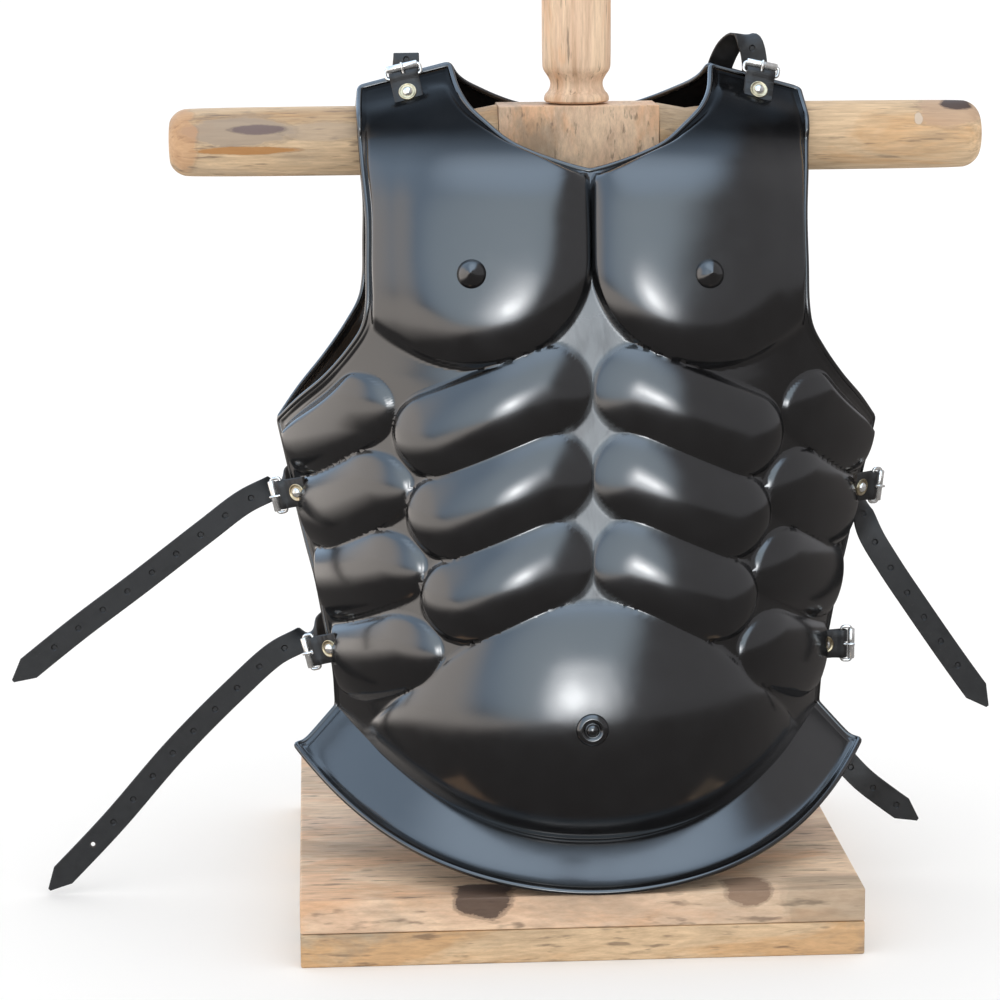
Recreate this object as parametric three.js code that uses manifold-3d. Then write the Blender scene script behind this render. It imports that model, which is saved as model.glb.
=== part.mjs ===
// Steel muscle breastplate buckled to its back plate, hung on a wooden T stand.
// Millimetres, +Z up. The chest faces -Y and +X is the wearer's left. The origin is the foot of the
// post's axis, on the underside of the base.
import * as THREE from 'three';
import { mergeVertices } from 'three/addons/utils/BufferGeometryUtils.js';
import Module from 'manifold-3d';

const wasm = await Module();
wasm.setup();

// ---- driving dimensions ---------------------------------------------------------------------------
const GAP = 0.3; // air between pieces that touch
const STEEL = 1.2; // plate thickness
const BEAD_R = 2.0; // half thickness of the rolled rims
const RIM_STEPS = [0, 2, 4.5]; // grid columns that shape a rim, measured from the edge
const FLANGE_STEPS = [1, 0.96, 0.915, 0.7, 0.45, 0.2]; // grid rows of the waist flange, rim to crease

const BASE = { width: 395, depth: 405, board: 24, offset: -12.5 };
const POST_R = 25;
const BAR = { r: 25, halfLength: 295.5, block: 116, z: 557.7 };
const FINIAL_TOP = 690;

const HANG = { tilt: 0.75, shift: 2.5, z: 557 }; // the plates hang a little off plumb: degrees, mm, mm

// Body sections: height, half width at the side edge, centre line's Y, and how far the edge drops back.
const FRONT_SECTIONS = [
  // z, half, centreY, drop
  [40, 172, -162, 130],
  [145, 178, -168, 134],
  [200, 187, -162, 136],
  [250, 197, -154, 136],
  [300, 207, -144, 134],
  [357, 220, -134, 130],
  [400, 222, -127, 106],
  [450, 222, -117, 82],
  [500, 222, -104, 86],
  [540, 222, -88, 106],
  [557, 222, -72, 92],
  [570, 222, -54, 48],
  [580, 222, -38.5, 26],
  [590, 222, -19, 16],
  [600, 222, -2, 8],
  [615, 222, 14, 6],
  [640, 222, 24, 6],
];
const BACK_SECTIONS = [
  // z, half, centreY, drop
  [40, 172, 52, -90],
  [145, 178, 62, -88],
  [200, 187, 66, -84],
  [250, 197, 72, -82],
  [300, 207, 82, -84],
  [357, 220, 93, -89],
  [400, 222, 100, -88],
  [450, 222, 103, -76],
  [500, 222, 98, -80],
  [540, 222, 86, -102],
  [557, 222, 72, -92],
  [570, 222, 56, -62],
  [580, 222, 42, -40],
  [590, 222, 28, -24],
  [600, 222, 18, -10],
  [615, 222, 12, -8],
  [640, 222, 6, -8],
];
const SECTION_POWER = 2.9;
const SHOULDER = { slope: 0.27, level: 125, from: 560, over: 40 }; // the shoulder ends fall away

// Outlines in the front view, one side, as x and z.
const NECKLINE = [
  [0, 541], [14, 544.5], [39, 552.5], [57, 560.5], [71, 571.5], [83.5, 583], [91, 595], [95, 610],
];
const BACK_NECKLINE = [
  [0, 574], [22, 575], [42, 578], [58, 583.5], [72, 590], [83, 596], [90, 602], [95, 610],
];
const ARMHOLE = [
  [160, 593], [161, 578], [159, 543], [155.5, 508], [155.5, 475], [156, 446], [159, 431], [169, 414],
  [185, 393], [205, 371], [220, 352],
];
const SIDE_EDGE = [
  [220, 352], [212, 317], [206.5, 290], [199, 260], [193, 238], [186.5, 205], [180, 172], [178, 143],
];
const SIDE_SHARE = 0.42; // share of the grid rows that lie below the armhole
const CREASE = { z: 76, rise: 0.0021 }; // waist crease: z = CREASE.z + CREASE.rise * x * x
const BACK_CREASE = { z: 116, rise: 0.00085 };
const FLANGE = { out: 40.5, outSide: 34, down: 25.5 };
const BACK_FLANGE = { out: 28, outSide: 8, down: 22 };

// Raised muscles of one side: inner end, outer end, radius and height.
const MUSCLES = [
  // x0, z0, x1, z1, radius, height
  [32, 393, 107, 360, 30, 14],
  [31, 332, 98, 302, 30, 14],
  [30, 273, 89, 245, 29, 13],
  [163, 372, 204, 341, 25, 9],
  [151, 317, 187, 289, 25, 8.5],
  [141, 262, 183, 236, 24, 9],
  [130, 203, 166, 182, 26, 9],
];
const ABS_REACH = { from: 0, to: 75, least: 0.55 }; // the belly muscles rise away from the centre line
const PEC = {
  x: 84, z: 482, inner: 84, outer: 96, low: 75, high: 118, height: 17, roll: 3, roundLow: 2, roundHigh: 3.5,
};
const BELLY = { top: 248, fall: 0.0045, height: 16 };
const NIPPLE = { x: 84, z: 471, r: 10.3 };
const NAVEL = { x: 0, z: 157, r: 11 };

const STRAP = { width: 18.5, thick: 2.4, holeR: 2.1, pitch: 23, point: 12, tip: 2, stations: 16 };
const RIVET_R = 6.2;
const BUCKLE = { width: 27, bar: 2.4, pivot: 9, roller: 17, rollerR: 2.4, rivet: -1.4 };

// ---- small helpers --------------------------------------------------------------------------------
const V = (x, y, z) => new THREE.Vector3(x, y, z);
const clamp01 = (t) => Math.min(Math.max(t, 0), 1);
const smooth = (t) => clamp01(t) ** 2 * (3 - 2 * clamp01(t));

function monotone(table, column) {
  const x = table.map((r) => r[0]);
  const y = table.map((r) => r[column]);
  const h = x.slice(1).map((v, i) => v - x[i]);
  const d = h.map((v, i) => (y[i + 1] - y[i]) / v);
  const m = y.map((_, i) => {
    if (i === 0) return d[0];
    if (i === y.length - 1) return d[d.length - 1];
    if (d[i - 1] * d[i] <= 0) return 0;
    const a = 2 * h[i] + h[i - 1];
    const b = h[i] + 2 * h[i - 1];
    return (a + b) / (a / d[i - 1] + b / d[i]);
  });
  return (q) => {
    const v = Math.min(Math.max(q, x[0]), x[x.length - 1]);
    let i = 0;
    while (i < x.length - 2 && v > x[i + 1]) i += 1;
    const t = (v - x[i]) / h[i];
    const t2 = t * t;
    const t3 = t2 * t;
    return (2 * t3 - 3 * t2 + 1) * y[i] + (t3 - 2 * t2 + t) * h[i] * m[i]
      + (3 * t2 - 2 * t3) * y[i + 1] + (t3 - t2) * h[i] * m[i + 1];
  };
}

function outline(points) {
  const curve = new THREE.CatmullRomCurve3(points.map(([x, z]) => V(x, 0, z)), false, 'centripetal');
  curve.arcLengthDivisions = 400;
  return (t) => curve.getPointAt(clamp01(t));
}

function geometry(positions) {
  const g = new THREE.BufferGeometry();
  g.setAttribute('position', new THREE.Float32BufferAttribute(positions, 3));
  return mergeVertices(g, 1e-3);
}

function toSolid(geo) {
  const g = geo.clone();
  g.deleteAttribute('normal');
  g.deleteAttribute('uv');
  const m = mergeVertices(g, 1e-3);
  return new wasm.Manifold(new wasm.Mesh({
    numProp: 3,
    vertProperties: new Float32Array(m.attributes.position.array),
    triVerts: new Uint32Array(m.index.array),
  }));
}

function fromSolid(solid) {
  const mesh = solid.getMesh();
  const g = new THREE.BufferGeometry();
  g.setAttribute('position', new THREE.Float32BufferAttribute(mesh.vertProperties, 3));
  g.setIndex(new THREE.BufferAttribute(mesh.triVerts, 1));
  return g;
}

function box(x0, x1, y0, y1, z0, z1) {
  const g = new THREE.BoxGeometry(x1 - x0, y1 - y0, z1 - z0);
  g.translate((x0 + x1) / 2, (y0 + y1) / 2, (z0 + z1) / 2);
  return g;
}

function lathe(profile, segments) {
  return new THREE.LatheGeometry(profile.map(([r, z]) => new THREE.Vector2(r, z)), segments);
}

// ---- plate surface --------------------------------------------------------------------------------
function plateSurface(sections) {
  const half = monotone(sections, 1);
  const centre = monotone(sections, 2);
  const drop = monotone(sections, 3);
  return (x, z) => {
    const fall = SHOULDER.slope * (SHOULDER.level - Math.abs(x));
    const q = z - fall * smooth((z - SHOULDER.from) / SHOULDER.over);
    return centre(q) + drop(q) * (Math.abs(x) / half(q)) ** SECTION_POWER;
  };
}

function pillow(x, z, [x0, z0, x1, z1, r, height]) {
  const dx = x1 - x0;
  const dz = z1 - z0;
  const t = clamp01(((x - x0) * dx + (z - z0) * dz) / (dx * dx + dz * dz));
  const s = Math.hypot(x - x0 - dx * t, z - z0 - dz * t) / r;
  const reach = smooth((x - ABS_REACH.from) / (ABS_REACH.to - ABS_REACH.from));
  const rise = ABS_REACH.least + (1 - ABS_REACH.least) * reach;
  return s < 1 ? height * rise * (1 - s * s) ** 0.75 : 0;
}

function pecRelief(x, z) {
  const sx = Math.abs(x - PEC.x) / (x < PEC.x ? PEC.inner : PEC.outer);
  const up = z > PEC.z;
  const sz = Math.abs(z - PEC.z) / (up ? PEC.high : PEC.low);
  const p = up ? PEC.roundHigh : PEC.roundLow;
  const s = (sx ** p + sz ** p) ** (1 / p);
  return s < 1 ? PEC.height * (1 - s ** PEC.roll) ** 0.75 : 0;
}

function bellyRelief(x, z) {
  const top = BELLY.top - BELLY.fall * x * x;
  const low = CREASE.z + CREASE.rise * x * x;
  const halfSpan = (top - low) / 2;
  if (halfSpan < 1) return 0;
  const w = (z - (top + low) / 2) / halfSpan;
  return Math.abs(w) < 1 ? BELLY.height * (1 - w * w) ** 0.7 * (halfSpan / 86) ** 0.6 : 0;
}

function frontRelief(xs, z) {
  const x = Math.abs(xs);
  return Math.max(pecRelief(x, z), bellyRelief(x, z), ...MUSCLES.map((m) => pillow(x, z, m)));
}

function backRelief(xs, z) {
  const blade = pillow(Math.abs(xs), z, [88, 470, 112, 400, 52, 8]);
  const groove = 4 * Math.exp(-((xs / 10) ** 2)) * smooth((z - 150) / 60) * smooth((540 - z) / 60);
  return blade - groove;
}

// One half of a plate as a grid of [outer, inner] points, rows from the flange's rim to the shoulder.
function halfPlate(spec) {
  const { facing, sections, neckline, crease, flange, relief, neckRow } = spec;
  const surface = plateSurface(sections);
  const neck = outline(neckline);
  const side = outline([...SIDE_EDGE].reverse());
  const arm = outline([...ARMHOLE].reverse());
  const waist = SIDE_EDGE[SIDE_EDGE.length - 1][0];
  const creaseEnd = V(waist, 0, crease.z + crease.rise * waist * waist);
  const inner = (v) => (v <= neckRow
    ? V(0, 0, crease.z + (neckline[0][1] - crease.z) * (v / neckRow))
    : neck((v - neckRow) / (1 - neckRow)));
  const outer = (v) => {
    if (v > SIDE_SHARE) return arm((v - SIDE_SHARE) / (1 - SIDE_SHARE));
    const p = side(v / SIDE_SHARE);
    return v === 0 ? creaseEnd : p;
  };
  const topIn = inner(1);
  const topOut = outer(1);
  const coons = (u, v) => {
    const a = inner(v);
    const b = outer(v);
    const bottom = V(waist * u, 0, crease.z + crease.rise * (waist * u) ** 2);
    const top = topIn.clone().lerp(topOut, u);
    const corner = V(0, 0, crease.z).multiplyScalar((1 - u) * (1 - v))
      .addScaledVector(creaseEnd, u * (1 - v))
      .addScaledVector(topIn, (1 - u) * v)
      .addScaledVector(topOut, u * v);
    return a.multiplyScalar(1 - u).addScaledVector(b, u)
      .addScaledVector(bottom, 1 - v).addScaledVector(top, v).sub(corner);
  };
  const sheet = (x, z) => V(x, surface(x, z), z);
  const edge = [];
  for (let i = 0; i <= 120; i += 1) {
    const a = outer(i / 120);
    edge.push(sheet(a.x, a.z));
    const t = topIn.clone().lerp(topOut, i / 120);
    edge.push(sheet(t.x, t.z));
    const n = neck(i / 120);
    edge.push(sheet(n.x, n.z));
  }
  const edgeDistance = (p) => Math.min(...edge.map((e) => e.distanceTo(p)));
  const normal = (f, x, z) => {
    const e = 0.4;
    const a = f(x + e, z).sub(f(x - e, z));
    const b = f(x, z + e).sub(f(x, z - e));
    const n = a.cross(b).normalize();
    return n.y * facing < 0 ? n.negate() : n;
  };
  const shape = (x, z) => {
    const p = sheet(x, z);
    const fade = smooth((edgeDistance(p) - spec.margin) / 12);
    return p.addScaledVector(normal(sheet, x, z), relief(x, z) * fade);
  };
  const bead = (d) => (d < 2 * BEAD_R
    ? Math.max(STEEL / 2, Math.sqrt(Math.max(0, BEAD_R ** 2 - (d - BEAD_R) ** 2)))
    : STEEL / 2);
  const rows = [];
  const uAt = (v, positions) => {
    const steps = 80;
    const pts = [];
    for (let k = 0; k <= steps; k += 1) {
      const q = coons(k / steps, v);
      pts.push(sheet(q.x, q.z));
    }
    const len = [0];
    for (let k = 1; k <= steps; k += 1) len.push(len[k - 1] + pts[k].distanceTo(pts[k - 1]));
    const total = len[steps];
    return positions(total).map((s) => {
      let k = 0;
      while (k < steps - 1 && len[k + 1] < s) k += 1;
      return clamp01((k + (s - len[k]) / (len[k + 1] - len[k])) / steps);
    });
  };
  const positions = (total) => {
    const rim = RIM_STEPS[RIM_STEPS.length - 1];
    const inside = Array.from({ length: spec.columns - 1 }, (_, k) => (
      rim + ((total - 2 * rim) * (k + 1)) / spec.columns));
    return [...RIM_STEPS, ...inside, ...RIM_STEPS.map((d) => total - d).reverse()];
  };
  // flange rows, from the rim up to just under the crease
  const bottomU = uAt(0, positions);
  const out = (u) => flange.out + (flange.outSide - flange.out) * u * u;
  const flangeRow = (t) => bottomU.map((u, j) => {
    const q = coons(u, 0);
    const c = sheet(q.x, q.z);
    const n = normal(sheet, q.x, q.z);
    n.z = 0;
    n.normalize();
    if (j === 0) n.x = 0;
    const o = out(u) * t;
    const d = flange.down * t;
    const p = c.clone().addScaledVector(n, o).add(V(0, 0, -d));
    const slope = V(0, 0, out(u)).addScaledVector(n, flange.down).normalize();
    const rim = (1 - t) * Math.hypot(out(u), flange.down);
    const sideGap = RIM_STEPS[bottomU.length - 1 - j] ?? Infinity;
    const h = bead(Math.min(rim, sideGap));
    return [p.clone().addScaledVector(slope, h), p.clone().addScaledVector(slope, -h)];
  });
  for (const t of FLANGE_STEPS) rows.push(flangeRow(t));
  for (const v of spec.rows) {
    rows.push(uAt(v, positions).map((u, j) => {
      const q = coons(u, v);
      const p = shape(q.x, q.z);
      const n = normal(shape, q.x, q.z);
      if (j === 0 && v <= neckRow) {
        p.x = 0;
        n.x = 0;
        n.normalize();
      }
      if (v === 0) n.add(V(0, 0, 0.5)).normalize();
      const h = bead(edgeDistance(sheet(q.x, q.z)));
      return [p.clone().addScaledVector(n, h), p.clone().addScaledVector(n, -h)];
    }));
  }
  return rows;
}

function plate(spec) {
  const rows = halfPlate(spec);
  const firstNeck = FLANGE_STEPS.length + spec.rows.findIndex((v) => v >= spec.neckRow - 1e-9);
  const tri = [];
  const put = (a, b, c, mirror) => {
    const s = mirror ? -1 : 1;
    const order = (mirror !== (spec.facing > 0)) ? [a, c, b] : [a, b, c];
    order.forEach((p) => tri.push(p.x * s, p.y, p.z));
  };
  const quad = (a, b, c, d, mirror) => {
    put(a, b, c, mirror);
    put(a, c, d, mirror);
  };
  const last = rows.length - 1;
  const cols = rows[0].length - 1;
  for (const mirror of [false, true]) {
    for (let i = 0; i < last; i += 1) {
      for (let j = 0; j < cols; j += 1) {
        const [a, b, c, d] = [rows[i][j], rows[i][j + 1], rows[i + 1][j + 1], rows[i + 1][j]];
        quad(a[0], b[0], c[0], d[0], mirror);
        quad(a[1], d[1], c[1], b[1], mirror);
      }
      const e = rows[i][cols];
      const f = rows[i + 1][cols];
      quad(e[0], e[1], f[1], f[0], mirror);
      if (i >= firstNeck) {
        const g = rows[i][0];
        const h = rows[i + 1][0];
        quad(g[0], h[0], h[1], g[1], mirror);
      }
    }
    for (let j = 0; j < cols; j += 1) {
      const [a, b] = [rows[0][j], rows[0][j + 1]];
      quad(a[0], a[1], b[1], b[0], mirror);
      const [c, d] = [rows[last][j], rows[last][j + 1]];
      quad(c[0], d[0], d[1], c[1], mirror);
    }
  }
  return geometry(tri);
}

const FRONT = {
  facing: -1, sections: FRONT_SECTIONS, neckline: NECKLINE, crease: CREASE, flange: FLANGE,
  relief: frontRelief, columns: 12, neckRow: 0.76, margin: 12,
  rows: [0, 0.012, 0.045, 0.085, 0.125, 0.165, 0.205, 0.245, 0.285, 0.325, 0.37, 0.42, 0.455, 0.49, 0.53,
    0.57, 0.62, 0.67, 0.72, 0.76, 0.81, 0.86, 0.91, 0.955, 0.985, 1],
};
const BACK = {
  facing: 1, sections: BACK_SECTIONS, neckline: BACK_NECKLINE, crease: BACK_CREASE, flange: BACK_FLANGE,
  relief: backRelief, columns: 5, neckRow: 0.82, margin: 8,
  rows: [0, 0.12, 0.26, 0.42, 0.53, 0.64, 0.74, 0.82, 0.89, 0.95, 0.985, 1],
};

function boss({ x, z, r }, surface) {
  const e = 0.5;
  const at = (a, b) => V(a, surface(a, b), b);
  const p = at(x, z);
  const n = at(x + e, z).sub(at(x - e, z)).cross(at(x, z + e).sub(at(x, z - e))).normalize();
  if (n.y > 0) n.negate();
  const g = lathe([[0, -0.6], [r - 0.8, -0.6], [r, 0.2], [r * 0.82, 2], [r * 0.4, 3.4], [0, 4.6]], 12);
  g.rotateX(Math.PI / 2);
  g.applyQuaternion(new THREE.Quaternion().setFromUnitVectors(V(0, 0, 1), n));
  g.translate(p.x + n.x * STEEL / 2, p.y + n.y * STEEL / 2, p.z + n.z * STEEL / 2);
  return g;
}

function hang(g) {
  g.translate(0, 0, -HANG.z);
  g.rotateY((HANG.tilt * Math.PI) / 180);
  g.translate(HANG.shift, 0, HANG.z);
  return g;
}

function frontPlate() {
  const base = plateSurface(FRONT_SECTIONS);
  const raised = (x, z) => base(x, z) - frontRelief(x, z);
  let solid = toSolid(plate(FRONT));
  for (const spot of [NIPPLE, { ...NIPPLE, x: -NIPPLE.x }, NAVEL]) {
    solid = solid.add(toSolid(boss(spot, raised)));
  }
  return hang(fromSolid(solid));
}

// ---- buckles, laid out along s (towards the roller), w (along the roller) and n (away from the plate) ----
function frameAt(spot, facing, sections) {
  const surface = plateSurface(sections);
  const at = (a, b) => V(a, surface(a, b), b);
  const p = at(spot.x, spot.z);
  const e = 1.5;
  const n = at(spot.x + e, spot.z).sub(at(spot.x - e, spot.z))
    .cross(at(spot.x, spot.z + e).sub(at(spot.x, spot.z - e))).normalize();
  if (n.y * facing < 0) n.negate();
  const w = V(...spot.along);
  w.addScaledVector(n, -w.dot(n)).normalize();
  const s = w.clone().cross(n);
  if (s.dot(V(...spot.towards)) < 0) {
    s.negate();
    w.negate();
  }
  p.addScaledVector(n, BEAD_R + 1);
  return new THREE.Matrix4().makeBasis(s, w, n).setPosition(p);
}

function extrudeAcross(points, width, hole) {
  const shape = new THREE.Shape(points.map(([s, n]) => new THREE.Vector2(s, n)));
  if (hole) shape.holes.push(new THREE.Path(hole.map(([s, n]) => new THREE.Vector2(s, n))));
  const g = new THREE.ExtrudeGeometry(shape, { depth: width, bevelEnabled: false });
  g.translate(0, 0, -width / 2);
  g.rotateX(Math.PI / 2);
  return g;
}

const PIVOT = [BUCKLE.pivot, 3.4];
const ROLLER = [BUCKLE.roller, 5.2];

function chapeGeometry() {
  const ring = (r, from, to, n) => Array.from({ length: n + 1 }, (_, k) => {
    const a = ((from + ((to - from) * k) / n) * Math.PI) / 180;
    return [PIVOT[0] + r * Math.cos(a), PIVOT[1] + r * Math.sin(a)];
  });
  const body = [[-8, 1.1], [3, 0.2], [4.8, 0.2], ...ring(3.9, -110, 130, 6), [4.8, 4.2], [-8, 3.8]];
  const hole = ring(2.05, 0, 300, 5);
  const solid = toSolid(extrudeAcross(body, STRAP.width, hole));
  const slot = toSolid(box(BUCKLE.pivot - 3.2, BUCKLE.pivot + 6, -1.9, 1.9, -2, 9));
  return fromSolid(solid.subtract(slot));
}

function buckleFrameGeometry() {
  const half = BUCKLE.width / 2;
  const b = BUCKLE.bar / 2;
  const angle = Math.atan2(ROLLER[1] - PIVOT[1], ROLLER[0] - PIVOT[0]);
  const length = Math.hypot(ROLLER[1] - PIVOT[1], ROLLER[0] - PIVOT[0]);
  const bar = (s0, s1, w0, w1, h) => toSolid(box(s0, s1, w0, w1, -h, h));
  let solid = bar(-b, length + b, -half, -half + BUCKLE.bar, b);
  solid = solid.add(bar(-b, length + b, half - BUCKLE.bar, half, b));
  solid = solid.add(bar(-b, b, -half + 1, half - 1, b));
  solid = solid.add(bar(length - 0.9, length + 0.9, -half + 1, half - 1, 0.9));
  const g = fromSolid(solid);
  g.rotateY(-angle);
  g.translate(PIVOT[0], 0, PIVOT[1]);
  return g;
}

function rollerGeometry() {
  const half = BUCKLE.width / 2 - BUCKLE.bar - GAP;
  const r = BUCKLE.rollerR;
  const g = lathe([[1.6, -half], [r, -half], [r, half], [1.6, half], [1.6, -half]], 10);
  g.translate(ROLLER[0], 0, ROLLER[1]);
  return g;
}

function tongueGeometry() {
  const line = [
    [6.2, 5.1], [9.8, 5.15], [16.6, 8.0], [19.4, 7.2], [19.4, 8.4], [16.8, 9.6], [9.4, 6.9], [6.2, 6.6],
  ];
  return extrudeAcross(line, 2.6);
}

function rivetGeometry(along, height) {
  const g = lathe([[0, 0], [RIVET_R, 0], [RIVET_R, 0.9], [3.7, 1.3], [2.4, 2.8], [0, 3.3]], 8);
  g.rotateX(Math.PI / 2);
  g.translate(along, 0, height);
  return g;
}

// Where each buckle sits: its rivet's x and z on the plate, the roller's direction and the way it points.
const BUCKLES = {
  left_shoulder: { x: -127, z: 593.5, along: [0.985, 0, 0.17], towards: [0, 0, 1] },
  right_shoulder: { x: 128.5, z: 594, along: [0.99, 0, -0.1], towards: [0, 0, 1] },
  left_upper: { x: -206, z: 302, along: [0.2, 0, -0.98], towards: [-1, 0, 0] },
  left_lower: { x: -183, z: 191, along: [0.3, 0, -0.95], towards: [-1, 0, 0] },
  right_upper: { x: 206, z: 303, along: [-0.2, 0, -0.98], towards: [1, 0, 0] },
  right_lower: { x: 183, z: 190, along: [-0.1, 0, -0.99], towards: [1, 0, 0] },
};

// ---- straps: stations of x, y, z and the way the outer face looks, from the rivet to the tip --------------
const STRAPS = {
  left_upper: {
    holesFrom: 52,
    holes: 10,
    line: [
      // x, y, z, face x, face y, face z
      [-208, 33, 308, -0.72, 0.69, 0],
      [-214, 20, 307, -0.97, 0.2, 0],
      [-219, 11, 305, -0.9, -0.43, 0],
      [-227, 5.5, 301.5, -0.4, -0.9, 0],
      [-247, 1, 292.5, 0, -1, 0],
      [-277, -3, 271, 0, -1, 0],
      [-325, -3, 234.5, 0, -1, 0],
      [-373, -3, 199, 0, -1, 0],
      [-421, -3, 161, 0, -1, 0],
    ],
  },
  left_lower: {
    holesFrom: 52,
    holes: 10,
    line: [
      [-186, 17, 199, -0.72, 0.69, 0],
      [-193, 3, 197, -0.97, 0.2, 0],
      [-198, -6, 194.5, -0.9, -0.43, 0],
      [-207, -12, 190, -0.4, -0.9, 0],
      [-226, -16, 181, 0, -1, 0],
      [-257, -18, 154, 0, -1, 0],
      [-301, -18, 110, 0, -1, 0],
      [-350, -18, 54, 0, -1, 0],
      [-398, -18, 4, 0, -1, 0],
    ],
  },
  right_upper: {
    holesFrom: 45,
    holes: 8,
    line: [
      [205, 33, 303, 0.72, 0.69, 0],
      [210, 20, 298, 0.97, 0.2, 0],
      [213, 10, 289, 0.9, -0.43, 0],
      [214, 3, 277, 0.5, -0.87, 0],
      [219, 0, 261, 0.1, -1, 0],
      [233, -2, 237, 0, -1, 0],
      [255, -3, 204, 0, -1, 0],
      [284, -3, 162, 0, -1, 0],
      [310, -3, 126, 0, -1, 0],
    ],
  },
  right_lower: {
    holesFrom: 76,
    holes: 5,
    line: [
      [184, 17, 189, 0.72, 0.69, 0],
      [190, 6, 176, 0.97, 0.2, 0],
      [193, -4, 158, 0.8, -0.6, 0],
      [195, -10, 138, 0.4, -0.92, 0],
      [198, -13, 115, 0, -1, 0],
      [205.5, -14, 92, 0, -1, 0],
      [218, -16, 73, 0, -1, 0],
      [235, -15, 57, 0, -1, 0],
      [256, -15, 42, 0, -1, 0],
    ],
  },
  left_shoulder: {
    holesFrom: 53,
    holes: 1,
    line: [
      [-124, 38, 583, 0, 0.6, 0.8],
      [-124, 27, 595, 0, 0.72, 0.7],
      [-124, 19.5, 605, 0, 0.8, 0.6],
      [-124, 14.5, 613.5, 0, 0.7, 0.7],
      [-124, 9, 616, 0, -0.1, 1],
      [-124, 6.2, 611.5, 0, -0.97, 0.25],
      [-124, 6.4, 605, 0, -1, 0],
      [-124, 7.5, 597, 0, -1, -0.2],
      [-124, 9.5, 590, 0, -1, -0.2],
    ],
  },
  right_shoulder: {
    holesFrom: 72,
    holes: 1,
    line: [
      [107, 44, 586, 0, 0.6, 0.8],
      [107, 33, 600, 0, 0.74, 0.67],
      [109, 25, 611, 0, 0.9, 0.43],
      [114, 19.5, 622, 0, 0.8, 0.6],
      [121.5, 12.5, 630, 0, 0.2, 1],
      [127.5, 7.5, 624.5, 0, -0.9, 0.4],
      [130.5, 7.2, 613, 0, -1, 0.1],
      [131, 7.6, 605, 0, -1, 0],
      [131.3, 7.5, 597, 0, -1, -0.2],
      [131.5, 9.5, 590, 0, -1, -0.2],
    ],
  },
};
const ANCHOR_INSET = 6;

function strapPath(line) {
  const path = new THREE.CatmullRomCurve3(line.map(([x, y, z]) => V(x, y, z)), false, 'centripetal');
  const face = new THREE.CatmullRomCurve3(line.map(([, , , x, y, z]) => V(x, y, z)), false, 'centripetal');
  const frame = (t) => {
    const p = path.getPoint(t);
    const tan = path.getTangent(t);
    const n = face.getPoint(t);
    n.addScaledVector(tan, -n.dot(tan)).normalize();
    return { p, tan, n, w: tan.clone().cross(n) };
  };
  const length = path.getLength();
  return { length, at: (s) => frame(path.getUtoTmapping(s / length)) };
}

function strapGeometry(spec, pointed) {
  const { length, at } = strapPath(spec.line);
  const end = length - 0.01;
  const stations = Array.from({ length: STRAP.stations }, (_, k) => (length * k) / STRAP.stations);
  const body = stations.filter((s) => s < length - STRAP.point - 2);
  const list = pointed ? [...body, length - STRAP.point, end] : [...body, end];
  const rings = list.map((s, k) => {
    const { p, n, w } = at(s);
    const h = pointed && k === list.length - 1 ? STRAP.tip / 2 : STRAP.width / 2;
    return [[-h, 1], [h, 1], [h, -1], [-h, -1]].map(([a, b]) => (
      p.clone().addScaledVector(w, a).addScaledVector(n, (b * STRAP.thick) / 2)));
  });
  const tri = [];
  const put = (...pts) => pts.forEach((q) => tri.push(q.x, q.y, q.z));
  for (let k = 0; k + 1 < rings.length; k += 1) {
    for (let e = 0; e < 4; e += 1) {
      const f = (e + 1) % 4;
      put(rings[k][e], rings[k + 1][e], rings[k + 1][f]);
      put(rings[k][e], rings[k + 1][f], rings[k][f]);
    }
  }
  const a = rings[0];
  const z = rings[rings.length - 1];
  put(a[0], a[1], a[2]);
  put(a[0], a[2], a[3]);
  put(z[0], z[2], z[1]);
  put(z[0], z[3], z[2]);
  let solid = toSolid(geometry(tri));
  if (solid.volume() < 0) {
    const flipped = [];
    for (let k = 0; k < tri.length; k += 9) {
      flipped.push(...tri.slice(k, k + 3), ...tri.slice(k + 6, k + 9), ...tri.slice(k + 3, k + 6));
    }
    solid = toSolid(geometry(flipped));
  }
  for (let k = 0; k < spec.holes; k += 1) {
    const s = spec.holesFrom + k * STRAP.pitch;
    const { p, n } = at(s);
    const punch = new THREE.CylinderGeometry(STRAP.holeR, STRAP.holeR, 3 * STRAP.thick, 5);
    punch.applyQuaternion(new THREE.Quaternion().setFromUnitVectors(V(0, 1, 0), n));
    punch.translate(p.x, p.y, p.z);
    solid = solid.subtract(toSolid(punch));
  }
  return fromSolid(solid);
}

function anchorRivet(spec) {
  const { p, n, tan } = strapPath(spec.line).at(ANCHOR_INSET);
  const g = rivetGeometry(0, STRAP.thick / 2 + 3 * GAP);
  g.applyMatrix4(new THREE.Matrix4().makeBasis(tan, n.clone().cross(tan), n).setPosition(p));
  return g;
}

// ---- stand ----------------------------------------------------------------------------------------
function boardGeometry(z0, z1) {
  const w = BASE.width / 2;
  const d = BASE.depth / 2;
  const c = 2;
  const shape = new THREE.Shape([
    [-w + c, -d], [w - c, -d], [w, -d + c], [w, d - c], [w - c, d], [-w + c, d], [-w, d - c], [-w, -d + c],
  ].map(([x, y]) => new THREE.Vector2(x + BASE.offset, y)));
  const g = new THREE.ExtrudeGeometry(shape, { depth: z1 - z0, bevelEnabled: false });
  g.translate(0, 0, z0);
  return g;
}

function upright(profile, segments) {
  const g = lathe(profile, segments);
  g.rotateX(Math.PI / 2);
  return g;
}

function lowerPost() {
  const z0 = 2 * BASE.board + 2 * GAP;
  const z1 = BAR.z - BAR.r - GAP;
  return upright([[0, z0], [POST_R, z0], [POST_R, z1], [0, z1]], 22);
}

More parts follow.
